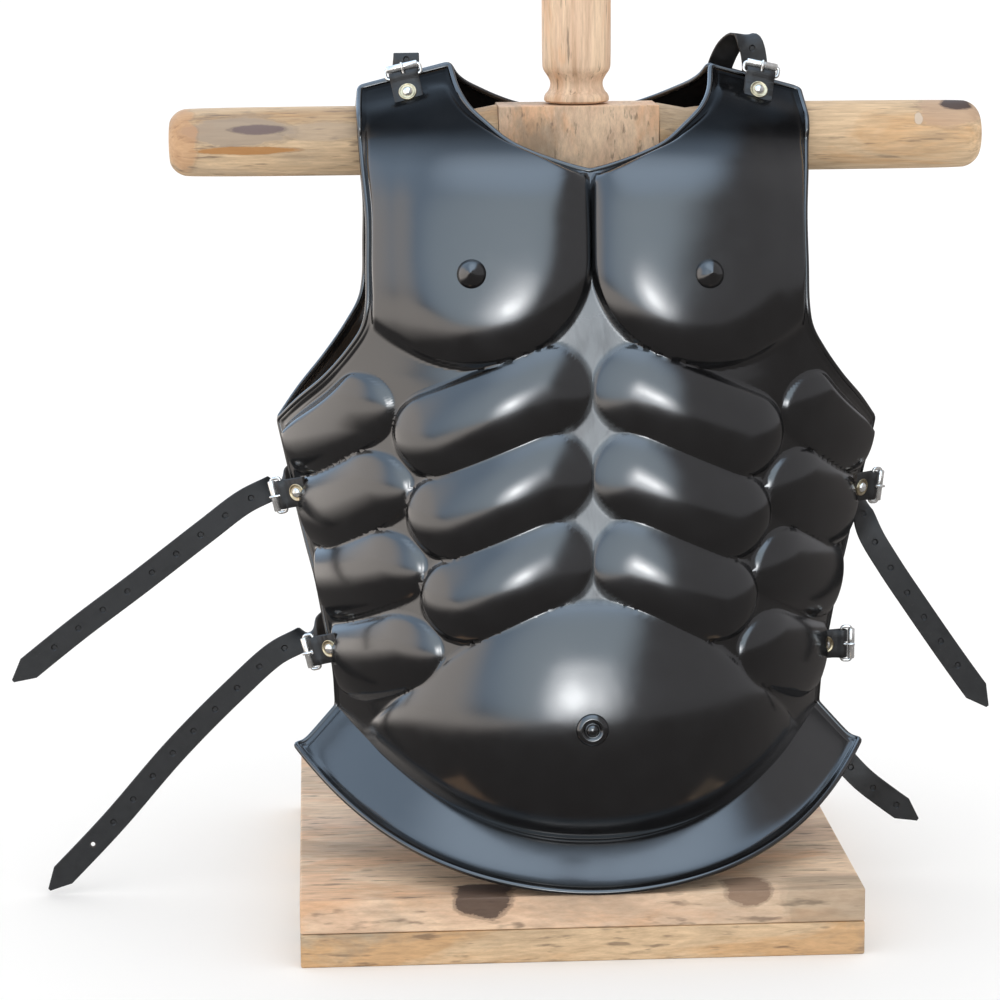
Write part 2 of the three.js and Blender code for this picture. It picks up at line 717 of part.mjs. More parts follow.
function finial() {
  const z = BAR.z + BAR.r + GAP;
  return upright([
    [0, z], [23.4, z], [23.4, z + 6], [20.2, z + 9.5], [18.5, z + 14.5], [21, z + 20], [24.2, z + 24],
    [POST_R, z + 29], [POST_R, FINIAL_TOP - 7], [20, FINIAL_TOP], [0, FINIAL_TOP],
  ], 20);
}

function barBlock() {
  const h = BAR.block / 2;
  return box(-h, h, -BAR.r, BAR.r, BAR.z - BAR.r, BAR.z + BAR.r);
}

function barArm(side) {
  const x0 = BAR.block / 2 + GAP;
  const x1 = BAR.halfLength;
  const r = BAR.r;
  const g = lathe([
    [0, x0], [r, x0], [r, x1 - 16], [r - 2.4, x1 - 7], [r - 8, x1 - 1.5], [r - 14, x1], [0, x1],
  ], 18);
  g.rotateZ(-Math.PI / 2);
  if (side < 0) g.rotateZ(Math.PI);
  g.translate(0, 0, BAR.z);
  return g;
}

// ---- assembly -------------------------------------------------------------------------------------
const PAINT = { color: 0x17181b, roughness: 0.2, metalness: 0.3 };
const LEATHER = { color: 0x1d1b1a, roughness: 0.6, metalness: 0 };
const NICKEL = { color: 0xc9cacc, roughness: 0.2, metalness: 1 };
const WOOD = { color: 0xc39a6f, roughness: 0.65, metalness: 0 };

const group = new THREE.Group();

function add(name, geo, look) {
  const g = geo.index ? geo.toNonIndexed() : geo;
  g.deleteAttribute('normal');
  g.deleteAttribute('uv');
  const merged = mergeVertices(g, 1e-3);
  merged.computeVertexNormals();
  const mesh = new THREE.Mesh(merged, new THREE.MeshStandardMaterial({ ...look }));
  mesh.name = name;
  group.add(mesh);
}

add('stand_base_lower_board', boardGeometry(0, BASE.board), WOOD);
add('stand_base_upper_board', boardGeometry(BASE.board + GAP, 2 * BASE.board + GAP), WOOD);
add('stand_post', lowerPost(), WOOD);
add('stand_finial', finial(), WOOD);
add('stand_bar_block', barBlock(), WOOD);
add('stand_bar_arm_left', barArm(-1), WOOD);
add('stand_bar_arm_right', barArm(1), WOOD);
add('front_plate', frontPlate(), PAINT);
add('back_plate', hang(plate(BACK)), PAINT);

for (const [name, spot] of Object.entries(BUCKLES)) {
  const place = frameAt(spot, -1, FRONT_SECTIONS);
  const set = (g) => hang(g.applyMatrix4(place));
  add(`buckle_${name}_chape`, set(chapeGeometry()), LEATHER);
  add(`buckle_${name}_frame`, set(buckleFrameGeometry()), NICKEL);
  add(`buckle_${name}_roller`, set(rollerGeometry()), NICKEL);
  add(`buckle_${name}_tongue`, set(tongueGeometry()), NICKEL);
  add(`buckle_${name}_rivet`, set(rivetGeometry(BUCKLE.rivet, 4.5)), NICKEL);
}
for (const [name, spec] of Object.entries(STRAPS)) {
  add(`strap_${name}`, strapGeometry(spec, !name.endsWith('shoulder')), LEATHER);
  add(`strap_${name}_rivet`, anchorRivet(spec), NICKEL);
}

export default group;
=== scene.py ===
# %% [markdown]
# # A muscle breastplate on its stand
# The real thing is a sheet-steel breastplate hammered into chest and belly muscles, painted gloss black,
# and strapped to a plain back plate over a wooden T stand. This notebook dresses the solids of the frame:
# plates first, then leather, buckles and rivets, then the wood, and last the light and the camera.

# %% Load the frame
import math
import bmesh
import bpy
import numpy as np
from mathutils import Matrix, Vector, kdtree


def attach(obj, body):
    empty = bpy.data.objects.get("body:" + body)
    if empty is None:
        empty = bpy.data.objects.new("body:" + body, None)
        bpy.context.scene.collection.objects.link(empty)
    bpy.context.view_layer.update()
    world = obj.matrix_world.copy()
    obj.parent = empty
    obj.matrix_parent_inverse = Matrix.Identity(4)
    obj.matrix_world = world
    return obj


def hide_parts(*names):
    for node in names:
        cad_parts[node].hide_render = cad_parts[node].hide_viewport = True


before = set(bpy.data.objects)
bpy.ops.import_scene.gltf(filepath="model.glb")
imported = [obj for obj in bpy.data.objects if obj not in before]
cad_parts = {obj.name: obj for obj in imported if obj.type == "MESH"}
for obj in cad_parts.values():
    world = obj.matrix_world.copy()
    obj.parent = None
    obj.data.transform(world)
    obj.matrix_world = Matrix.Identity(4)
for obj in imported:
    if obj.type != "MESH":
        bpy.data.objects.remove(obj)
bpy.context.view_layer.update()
print("frame nodes:", len(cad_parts))

# %% [markdown]
# ## Units and small helpers
# Sizes are written in millimetres, as a maker would say them, and scaled to metres only when a mesh is
# made. Every piece is a plain mesh at the origin that rides on the one body of the frame.

# %% Mesh and table helpers
MM = 0.001
SPAN_POINTS = 40  # points of a smooth curve between two given ones
SCENE = bpy.context.scene


def unit(v):
    v = np.asarray(v, float)
    return v / np.maximum(np.linalg.norm(v, axis=-1, keepdims=True), 1e-12)


def smooth(t):
    t = np.clip(t, 0, 1)
    return t * t * (3 - 2 * t)


def monotone(table, column):
    """A smooth curve through one column of a table, which never overshoots its rows."""
    x = np.array([row[0] for row in table], float)
    y = np.array([row[column] for row in table], float)
    h = np.diff(x)
    d = np.diff(y) / h
    m = np.concatenate([[d[0]], np.zeros(len(x) - 2), [d[-1]]])
    turning = d[:-1] * d[1:] > 0
    a = 2 * h[1:] + h[:-1]
    b = h[1:] + 2 * h[:-1]
    a, b, before, after = a[turning], b[turning], d[:-1][turning], d[1:][turning]
    m[1:-1][turning] = (a + b) / (a / before + b / after)

    def at(q):
        v = np.clip(q, x[0], x[-1])
        i = np.clip(np.searchsorted(x, v) - 1, 0, len(h) - 1)
        t = (v - x[i]) / h[i]
        rise = (2 * t**3 - 3 * t**2 + 1) * y[i] + (3 * t**2 - 2 * t**3) * y[i + 1]
        return rise + h[i] * ((t**3 - 2 * t**2 + t) * m[i] + (t**3 - t**2) * m[i + 1])

    return at


def spline(points):
    """A centripetal Catmull-Rom curve through the points, as a dense polyline."""
    p = np.array(points, float)
    p = np.vstack([2 * p[0] - p[1], p, 2 * p[-1] - p[-2]])
    out = []
    for p0, p1, p2, p3 in zip(p, p[1:], p[2:], p[3:]):
        k = np.cumsum([0] + [np.linalg.norm(b - a) ** 0.5 for a, b in ((p0, p1), (p1, p2), (p2, p3))])
        t = np.linspace(k[1], k[2], SPAN_POINTS, endpoint=False)[:, None]
        a1 = ((k[1] - t) * p0 + (t - k[0]) * p1) / (k[1] - k[0])
        a2 = ((k[2] - t) * p1 + (t - k[1]) * p2) / (k[2] - k[1])
        a3 = ((k[3] - t) * p2 + (t - k[2]) * p3) / (k[3] - k[2])
        b1 = ((k[2] - t) * a1 + (t - k[0]) * a2) / (k[2] - k[0])
        b2 = ((k[3] - t) * a2 + (t - k[1]) * a3) / (k[3] - k[1])
        out.append(((k[2] - t) * b1 + (t - k[1]) * b2) / (k[2] - k[1]))
    return np.vstack(out + [p[-2][None]])


def lengths(line):
    return np.concatenate([[0], np.cumsum(np.linalg.norm(np.diff(line, axis=0), axis=1))])


def walk(line, s):
    """Points of a polyline at the lengths s."""
    at = lengths(line)
    return np.stack([np.interp(s, at, line[:, k]) for k in range(line.shape[1])], axis=-1)


def resample(line, step):
    """The same line with its points about one step apart."""
    total = lengths(line)[-1]
    return walk(line, np.linspace(0, total, max(2, round(total / step) + 1)))


def cleaned(mesh, weld=1e-6):
    """Merges points nearer than weld, in metres, and turns all faces outwards."""
    form = bmesh.new()
    form.from_mesh(mesh)
    bmesh.ops.remove_doubles(form, verts=form.verts, dist=weld)
    bmesh.ops.recalc_face_normals(form, faces=form.faces)
    form.to_mesh(mesh)
    form.free()
    return mesh


def piece(name, vertices, faces, material, stands_for, crease=40):
    """A finished mesh piece, given in millimetres, riding on the frame and standing for its solids."""
    mesh = bpy.data.meshes.new(name)
    mesh.from_pydata((np.asarray(vertices, float) * MM).tolist(), [], faces)
    mesh.validate()
    return finish_piece(name, mesh, material, stands_for, crease)


def finish_piece(name, mesh, material, stands_for, crease=40):
    """Gives a mesh its materials, smooth faces and sharp edges, and puts it on the frame."""
    for m in material if isinstance(material, (list, tuple)) else [material]:
        if m.name not in mesh.materials:
            mesh.materials.append(m)
    mesh.shade_smooth()
    mesh.set_sharp_from_angle(angle=math.radians(crease))
    obj = bpy.data.objects.new(name, mesh)
    SCENE.collection.objects.link(obj)
    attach(obj, "root")
    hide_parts(*stands_for)
    print(f"{name}: {len(mesh.polygons)} faces")
    return obj


# %% [markdown]
# ## Finishes
# Gloss black enamel is a dark coat whose look is almost all reflection: faint hammer marks under the paint
# bend the reflections, and a fine orange-peel breaks up their edges. Leather, nickel and pine each get
# their own grain. All patterns read object coordinates, so they stay put on the piece.

# %% Node helpers
def put(tree, socket, value):
    """Links an input to another node's output, or sets the input's own value."""
    if isinstance(value, bpy.types.NodeSocket):
        tree.links.new(value, socket)
    else:
        socket.default_value = value


def add_node(tree, kind, settings=None, **inputs):
    """A node with its settings; an input is given by its name, or as _0, _1 and so on by its place."""
    node = tree.nodes.new(kind)
    for key, value in (settings or {}).items():
        setattr(node, key, value)
    for key, value in inputs.items():
        put(tree, node.inputs[int(key[1:])] if key[0] == "_" else node.inputs[key.replace("_", " ")], value)
    return node


def opaque(value):
    """A colour of three numbers gets its fourth; anything else stays as it is."""
    return (*value, 1) if isinstance(value, tuple) and len(value) == 3 else value


# %% Material helper
class Nodes:
    """A short way to write a material's nodes."""

    def __init__(self, name):
        self.material = bpy.data.materials.new(name)
        self.material.use_nodes = True
        self.tree = self.material.node_tree
        self.shader = self.tree.nodes["Principled BSDF"]
        self.coords = self.tree.nodes.new("ShaderNodeTexCoord").outputs["Object"]

    def add(self, kind, settings=None, **inputs):
        return add_node(self.tree, "ShaderNode" + kind, settings, **inputs)

    def scaled(self, scale, location=(0, 0, 0)):
        return self.add("Mapping", Vector=self.coords, Scale=scale, Location=location).outputs["Vector"]

    def noise(self, scale, detail=3, vector=None, distortion=0.0, roughness=0.5):
        node = self.add("TexNoise", Vector=vector or self.coords, Scale=scale, Detail=detail,
                        Distortion=distortion, Roughness=roughness)
        return node.outputs["Fac"]

    def spread(self, value, low, high, to_low=0.0, to_high=1.0):
        """Stretches low to high into to_low to to_high, and stays within them."""
        node = self.add("MapRange", Value=value)
        for k, v in zip(("From Min", "From Max", "To Min", "To Max"), (low, high, to_low, to_high)):
            node.inputs[k].default_value = v
        return node.outputs["Result"]

    def ramp(self, value, *stops):
        """A colour for each value, from stops of (place, colour)."""
        node = self.add("ValToRGB", Fac=value)
        band = node.color_ramp
        while len(band.elements) < len(stops):
            band.elements.new(0.5)
        for element, (place, colour) in zip(band.elements, stops):
            element.position = place
            element.color = (*colour, 1)
        return node.outputs["Color"]

    def mix(self, a, b, fac):
        return self.add("Mix", {"data_type": "RGBA"}, _0=fac, _6=opaque(a), _7=opaque(b)).outputs[2]

    def maths(self, operation, a, b=0.0):
        return self.add("Math", {"operation": operation}, _0=a, _1=b).outputs[0]

    def bump(self, *layers):
        """Layers of (height, depth in metres, strength), the coarsest first."""
        normal = None
        for height, depth, strength in layers:
            node = self.add("Bump", Height=height, Strength=strength, Distance=depth)
            if normal:
                self.tree.links.new(normal, node.inputs["Normal"])
            normal = node.outputs["Normal"]
        self.tree.links.new(normal, self.shader.inputs["Normal"])

    def set(self, **values):
        """Sets or links the shader's inputs and returns the finished material."""
        for key, value in values.items():
            put(self.tree, self.shader.inputs[key.replace("_", " ")], opaque(value))
        return self.material


# %% Black enamel
def black_enamel():
    n = Nodes("black_enamel")
    peel = n.noise(900, 2)
    hammer = n.noise(24, 2, distortion=0.3)
    brushed = n.noise(85, 5, vector=n.scaled((1, 1, 0.3)), distortion=0.5)
    hollow = n.add("Attribute", {"attribute_name": "hollow"}).outputs["Fac"]
    shoulder_shade = n.add("Attribute", {"attribute_name": "shoulder_shade"}).outputs["Fac"]
    dust = n.noise(55, 5)
    colour = n.ramp(dust, (0.35, (0.0035, 0.0036, 0.0042)), (0.75, (0.006, 0.0062, 0.007)))
    worn = n.ramp(brushed, (0.32, (0.018, 0.020, 0.022)), (0.68, (0.095, 0.106, 0.113)))
    colour = n.mix(colour, worn, n.maths("MULTIPLY", hollow, n.spread(brushed, 0.25, 0.5)))
    n.bump((hammer, 0.0010, 0.14), (n.maths("MULTIPLY", hollow, brushed), 0.0009, 0.35),
           (peel, 0.00012, 0.08))
    rough = n.maths("ADD", n.spread(dust, 0.3, 0.7, 0.15, 0.20), n.maths("MULTIPLY", hollow, 0.22))
    # painted shade: towards the shoulder tops the specular and coat fade out so the tops read dark
    return n.set(Base_Color=colour, Roughness=rough, IOR=1.8, Coat_Roughness=0.12, Coat_IOR=1.5,
                 Specular_IOR_Level=n.spread(shoulder_shade, 0, 1, 0.5, 0.03),
                 Coat_Weight=n.spread(shoulder_shade, 0, 1, 0.2, 0.0))


ENAMEL = black_enamel()
print("enamel ready")


# %% Leather and its cut edge
def black_leather():
    n = Nodes("black_leather")
    grain = n.add("TexVoronoi", {"feature": "DISTANCE_TO_EDGE"}, Vector=n.coords, Scale=1300.0).outputs[0]
    folds = n.noise(160, 4)
    scuff = n.noise(420, 6, roughness=0.7)
    colour = n.ramp(folds, (0.3, (0.010, 0.0095, 0.0095)), (0.8, (0.020, 0.019, 0.019)))
    colour = n.mix(colour, (0.055, 0.05, 0.047), n.spread(scuff, 0.60, 0.74, 0, 0.5))
    n.bump((folds, 0.0006, 0.25), (grain, 0.00014, 0.45))
    return n.set(Base_Color=colour, Roughness=n.spread(folds, 0.3, 0.7, 0.42, 0.58))


def leather_edge():
    n = Nodes("leather_cut_edge")
    fibre = n.noise(900, 4)
    colour = n.ramp(fibre, (0.3, (0.030, 0.025, 0.022)), (0.75, (0.12, 0.10, 0.085)))
    n.bump((fibre, 0.0004, 0.5))
    return n.set(Base_Color=colour, Roughness=0.85)


LEATHER = black_leather()
CUT_EDGE = leather_edge()
print("leather ready")


# %% Nickel and the brassy washers
def nickel():
    n = Nodes("polished_nickel")
    smear = n.noise(240, 4)
    scratch = n.noise(90, 6, vector=n.scaled((1, 9, 1)))
    colour = n.ramp(smear, (0.3, (0.58, 0.57, 0.55)), (0.7, (0.86, 0.85, 0.83)))
    n.bump((scratch, 0.0001, 0.25))
    return n.set(Base_Color=colour, Metallic=0.75, Roughness=n.spread(smear, 0.3, 0.75, 0.12, 0.28))


def washer_brass():
    n = Nodes("washer_brass")
    smear = n.noise(300, 4)
    colour = n.ramp(smear, (0.3, (0.36, 0.29, 0.18)), (0.7, (0.64, 0.55, 0.38)))
    n.bump((smear, 0.0002, 0.3))
    return n.set(Base_Color=colour, Metallic=1.0, Roughness=n.spread(smear, 0.3, 0.7, 0.25, 0.42))


NICKEL = nickel()
WASHER = washer_brass()
print("metals ready")


# %% Pine
def figure_mask(n, split, x0, z0, a, b):
    """0 in the middle of an oval figure at x, z and 1 at its edge, drawn on object coordinates."""
    dx = n.maths("DIVIDE", n.maths("SUBTRACT", split["X"], x0 * MM), a * MM)
    dz = n.maths("DIVIDE", n.maths("SUBTRACT", split["Z"], z0 * MM), b * MM)
    return n.maths("ADD", n.maths("MULTIPLY", dx, dx), n.maths("MULTIPLY", dz, dz))


def pine(name, stretch, place, tones, knots=(), streak=0.5, front=None):
    """Old pine: bands and fibres along the grain, orange and grey stains, dark pores, and knots.

    A knot is x, z, half width, half height, strength, tone; front keeps knots off the faces behind it."""
    pale, warm, grey, rust = tones
    n = Nodes(name)
    split = n.add("SeparateXYZ", Vector=n.coords).outputs
    between = tuple(0.5 * (a + b) for a, b in zip(pale, warm))
    half_way = tuple(0.5 * (0.3 + v) for v in stretch)
    bands = n.noise(30, 6, vector=n.scaled(stretch, place), distortion=1.1, roughness=0.62)
    fibre = n.noise(420, 4, vector=n.scaled(tuple(max(v, 0.05) for v in stretch), place), roughness=0.7)
    blotch = n.noise(26, 5, vector=n.scaled(half_way, place), distortion=0.9, roughness=0.62)
    stain = n.noise(19, 6, vector=n.scaled(half_way, tuple(v + 4 for v in place)), distortion=0.6,
                    roughness=0.68)
    pores = n.noise(300, 3, vector=n.scaled(tuple(max(v, 0.11) for v in stretch), place))
    light = tuple(min(1.22 * v, 0.9) for v in pale)
    colour = n.ramp(bands, (0.28, warm), (0.45, pale), (0.56, light), (0.74, between))
    colour = n.mix(colour, rust, n.spread(blotch, 0.49, 0.58, 0, 0.65))
    colour = n.mix(colour, grey, n.spread(stain, 0.48, 0.59, 0, streak))
    colour = n.mix(colour, tuple(0.55 * v for v in warm), n.spread(fibre, 0.32, 0.62, 0.42, 0.0))
    colour = n.mix(colour, (0.10, 0.06, 0.04), n.spread(pores, 0.60, 0.70, 0, 0.6))
    rough_edge = n.noise(120, 5, vector=n.scaled(half_way, place), roughness=0.7)
    ragged = n.spread(rough_edge, 0.3, 0.7, -0.45, 0.45)
    for x, z, a, b, strength, tone in knots:
        edge = n.maths("ADD", figure_mask(n, split, x, z, a, b), ragged)
        if front is not None:
            edge = n.maths("ADD", edge, n.spread(split["Y"], front * MM, (front + 12) * MM, 0, 3))
        colour = n.mix(colour, tone, n.spread(edge, 0.75, 1.0, strength, 0.0))
        outline = n.maths("MULTIPLY", n.spread(edge, 0.85, 1.0),
                          n.spread(edge, 1.0, 1.2, 0.5 * strength, 0.0))
        colour = n.mix(colour, tuple(v * 0.55 for v in tone), outline)
    n.bump((bands, 0.0008, 0.15), (fibre, 0.0003, 0.25), (pores, 0.0004, 0.3))
    return n.set(Base_Color=colour, Roughness=n.spread(stain, 0.3, 0.7, 0.5, 0.72))


# pale, warm, grey and rusty tones of a board
TAN = ((0.62, 0.45, 0.28), (0.43, 0.27, 0.14), (0.33, 0.27, 0.20), (0.62, 0.35, 0.15))
ROSE = ((0.78, 0.55, 0.38), (0.56, 0.34, 0.20), (0.40, 0.33, 0.25), (0.80, 0.46, 0.25))
UMBER, PLUM = (0.050, 0.024, 0.015), (0.13, 0.085, 0.085)
ARM_L = pine("pine_left_arm", (0.08, 1, 1), (0.3, 0, 0), TAN, [
    (-246, 566.5, 42, 12.5, 0.8, (0.33, 0.26, 0.20)), (-184, 566, 32, 7, 0.6, (0.36, 0.28, 0.21)),
    (-232, 568, 21, 3.4, 0.85, PLUM), (-238, 553.5, 42, 3.0, 0.9, (0.42, 0.19, 0.05)),
    (-285, 560, 12, 22, 0.5, (0.55, 0.27, 0.12))], 0.5)
ARM_R = pine("pine_right_arm", (0.08, 1, 1), (1.3, 0, 0), TAN, [
    (270, 574, 26, 11, 0.7, (0.46, 0.30, 0.20)), (277, 579.5, 12, 4.2, 0.95, UMBER),
    (247, 571, 3.2, 4.5, 0.8, (0.62, 0.52, 0.42))], 0.6)
BLOCK = pine("pine_block", (1, 1, 0.3), (2.1, 0, 0), ROSE, [
    (-28, 560, 15, 16, 0.3, (0.26, 0.19, 0.12))], 0.65)
POST = pine("pine_post", (1, 1, 0.08), (0.4, 0.2, 0), ROSE, (), 0.6)
LOWER = pine("pine_lower_board", (0.12, 1, 0.8), (3.3, 0, 0), TAN, (), 0.8)
UPPER = pine("pine_upper_board", (0.10, 0.6, 0.5), (5.0, 0, 0), ROSE, [
    (-81, 46, 21, 13, 0.9, UMBER), (103, 47, 17, 11, 0.7, (0.14, 0.07, 0.04)),
    (160, 40, 34, 30, 0.35, (0.22, 0.18, 0.12))], 0.5, -176)
print("pine ready")


# %% [markdown]
# ## The body's form
# A breastplate is a bent sheet, so its form is a height field: for each height there is a half width, a
# centre depth, and how far the side edge drops back, joined by a soft power law. The outline is drawn in
# the front view, and the muscles are low pillows raised from the sheet.

# %% Plate tables
STEEL = 1.2  # thickness
RIM_R = 2.1  # rolled rim
SIDE_X = 178  # half width of the waist's crease
HANG = {"tilt": 0.75, "shift": 2.5, "z": 557}  # degrees, and millimetres at the crossbar
SECTION_POWER = 2.9
SHOULDER_SLOPE = 0.27

FRONT_SECTIONS = [
    # z, half, centre y, drop
    (40, 172, -162, 130), (145, 178, -168, 134), (200, 187, -162, 136), (250, 197, -154, 136),
    (300, 207, -144, 134), (357, 220, -134, 130), (400, 222, -127, 106), (450, 222, -117, 82),
    (500, 222, -104, 86), (540, 222, -88, 106), (557, 222, -72, 92), (570, 222, -54, 48),
    (580, 222, -38.5, 26), (590, 222, -19, 16), (600, 222, -2, 8), (615, 222, 14, 6), (640, 222, 24, 6),
]
BACK_SECTIONS = [
    (40, 172, 52, -90), (145, 178, 62, -88), (200, 187, 66, -84), (250, 197, 72, -82),
    (300, 207, 82, -84), (357, 220, 93, -89), (400, 222, 100, -88), (450, 222, 103, -76),
    (500, 222, 98, -80), (540, 222, 86, -102), (557, 222, 72, -92), (570, 222, 56, -62),
    (580, 222, 42, -40), (590, 222, 28, -24), (600, 222, 18, -10), (615, 222, 12, -8), (640, 222, 6, -8),
]
NECKLINE = [(0, 541), (14, 544.5), (39, 552.5), (57, 560.5), (71, 571.5), (83.5, 583), (91, 595), (95, 610)]
BACK_NECKLINE = [(0, 574), (22, 575), (42, 578), (58, 583.5), (72, 590), (83, 596), (90, 602), (95, 610)]
ARMHOLE = [
    (160, 593), (161, 578), (159, 543), (155.5, 508), (155.5, 475), (156, 446), (159, 431), (169, 414),
    (185, 393), (205, 371), (220, 352),
]
SIDE_EDGE = [
    (220, 352), (212, 317), (206.5, 290), (199, 260), (193, 238), (186.5, 205), (180, 172), (178, 143),
]
CREASE = (76, 0.0021)  # the waist's height in the middle, and how it rises with x squared
BACK_CREASE = (116, 0.00085)
FLANGE = {"out": 40.5, "side": 34, "down": 25.5}
BACK_FLANGE = {"out": 28, "side": 8, "down": 22}
SKIRT, LIP_TURN = 0.78, 14  # the flange is a straight skirt for this share, then turns to a flat lip


# %% The sheet before its muscles are raised
def sheet_of(sections):
    half, centre, drop = (monotone(sections, k) for k in (1, 2, 3))

    def depth(x, z):
        q = z - SHOULDER_SLOPE * (125 - np.abs(x)) * smooth((z - 560) / 40)
        return centre(q) + drop(q) * (np.abs(x) / half(q)) ** SECTION_POWER

    return depth


def on_sheet(depth, x, z):
    return np.stack([x, depth(x, z), z], axis=-1)


def sheet_normal(depth, x, z, facing):
    e = 0.5
    dx = (depth(x + e, z) - depth(x - e, z)) / (2 * e)
    dz = (depth(x, z + e) - depth(x, z - e)) / (2 * e)
    return unit(np.stack([dx, -np.ones_like(dx), dz], axis=-1)) * -facing


def hang(points):
    """The plates hang a little off plumb from the crossbar."""
    p = np.array(points, float)
    a = math.radians(HANG["tilt"])
    x, z = p[..., 0].copy(), p[..., 2] - HANG["z"]
    p[..., 0] = HANG["shift"] + x * math.cos(a) + z * math.sin(a)
    p[..., 2] = HANG["z"] - x * math.sin(a) + z * math.cos(a)
    return p


FRONT = sheet_of(FRONT_SECTIONS)
BACK = sheet_of(BACK_SECTIONS)
print("front depth at the breastbone:", round(float(FRONT(0, 450)), 1), "mm")


# %% [markdown]
# ## The muscles
# A smith raises each muscle as a pillow: a soft crown, rolled over steeply at its foot. The chest muscles
# are broad and nearly flat, with a wide roll below. Where two muscles meet, a smooth maximum leaves a
# clean valley between them.

# %% Muscle tables
MUSCLES = [
    # inner x, z, outer x, z, radius, height
    (30.5, 392, 107, 358.5, 32.5, 14),
    (29.5, 332, 98, 302, 32.5, 14),
    (28.5, 273, 89, 245, 31.5, 13),
    (163, 372, 204, 341, 27.5, 9.5),
    (151, 317, 188, 289, 27.5, 9.5),
    (141, 262, 183, 236, 26.5, 9.5),
    (130, 203, 167, 182, 27.5, 9),
]
PEC = {"x": 84, "z": 482, "inner": 86, "outer": 98, "low": 77, "high": 118, "height": 17, "roll": 2.4}
BELLY = {"top": 248, "fall": 0.0045, "height": 16, "half": 86}
REACH = (75, 0.55)  # pillows rise to full height this far from the centre line, from this share
NIPPLES = {"left": (-82, 469), "right": (79, 469)}
NAVEL = (-2, 160)
BAND = {"width": 4.4, "height": 0.45, "groove": 0.2}  # the step beside each rolled rim
VALLEY = 2.2  # how softly two muscles meet
FOOT = {"side": 8.0, "chest": 1.5, "from": 400, "over": 30, "rise": 8}  # bare metal beside the rim


def dome(s, power=0.75, foot=0.15):
    """1 on the crown and 0 at s = 1, with a hollow fillet over the last part of the way."""
    return np.maximum(1 - s * s, 0) ** power * smooth((1 - s) / foot)


def pillow(x, z, inner_x, inner_z, outer_x, outer_z, r, height):
    axis = np.array([outer_x - inner_x, outer_z - inner_z], float)
    length = np.hypot(*axis)
    axis /= length
    a = (x - inner_x) * axis[0] + (z - inner_z) * axis[1]
    b = (x - inner_x) * -axis[1] + (z - inner_z) * axis[0]
    s = np.hypot(a - np.clip(a, 0, length), b) / r
    share = REACH[1] + (1 - REACH[1]) * smooth(x / REACH[0])
    return height * share * dome(s)


def pectoral(x, z):
    sx = np.abs(x - PEC["x"]) / np.where(x < PEC["x"], PEC["inner"], PEC["outer"])
    up = z > PEC["z"]
    sz = np.abs(z - PEC["z"]) / np.where(up, PEC["high"], PEC["low"])
    p = np.where(up, 3.5, 2.0)
    fade = 1 - 0.6 * smooth((z - 515) / 70)  # the chest sinks back into the sheet at the shoulder
    roll = PEC["roll"] - 1.5 * smooth((x - PEC["x"]) / 50)  # tight at the breastbone, broad under the arm
    return PEC["height"] * fade * dome((sx**p + sz**p) ** (roll / p), foot=0.13)


def belly(x, z):
    top = BELLY["top"] - BELLY["fall"] * x * x
    low = CREASE[0] + CREASE[1] * x * x
    span = np.maximum((top - low) / 2, 1)
    w = (z - (top + low) / 2) / span
    fullness = (span / BELLY["half"]) ** 0.9
    return BELLY["height"] * dome(np.abs(w), 0.7, 0.07) * fullness * smooth((top - low - 2) / 30)


def join(a, b):
    """The higher of two forms, with a soft valley where they meet."""
    k = np.minimum(VALLEY, (a + b) / 2) + 1e-9
    h = np.maximum(k - np.abs(a - b), 0) / k
    return np.maximum(a, b) + h * h * k / 4


def muscles(x_signed, z):
    x = np.abs(x_signed)
    h = join(pectoral(x, z), belly(x, z))
    for row in MUSCLES:
        h = join(h, pillow(x, z, *row))
    return h


def back_form(x_signed, z):
    x = np.abs(x_signed)
    blade = 8 * dome(np.hypot((x - 100) / 62, (z - 435) / 88), 1.2)
    groove = 4 * np.exp(-((x_signed / 10) ** 2)) * smooth((z - 150) / 60) * smooth((540 - z) / 60)
    return blade - groove


print("chest muscle stands", round(float(muscles(84, 482)), 1), "mm proud")


# %% [markdown]
# ## Cutting the sheet
# The plate is meshed as a grid that runs from the waist to the shoulder. Every row is spaced by length
# along the metal, closer together near the edges, so the grid follows the outline and can carry the small
# step beside the rim. The outer face is twice as fine as the inner one. The sheet stops in the middle of
# the rolled rim, which is a rod laid along the edge.

# %% Plate grid
FINE_BAND, FINE_STEP = 12.0, 1.0  # the grid's spacing beside an edge
SEAM_WELD = 0.00004  # metres, closes the seam between the two halves
FIRST_COLUMNS = 241  # of the even grid from which the final rows are walked


def spaced(total, count):
    """count + 1 stations from 0 to total, a fine step apart near both ends."""
    n = round(FINE_BAND / FINE_STEP)
    ends = np.arange(n) * FINE_STEP
    middle = np.linspace(FINE_BAND, total - FINE_BAND, count - 2 * n + 1)
    return np.concatenate([ends, middle, total - ends[::-1]])


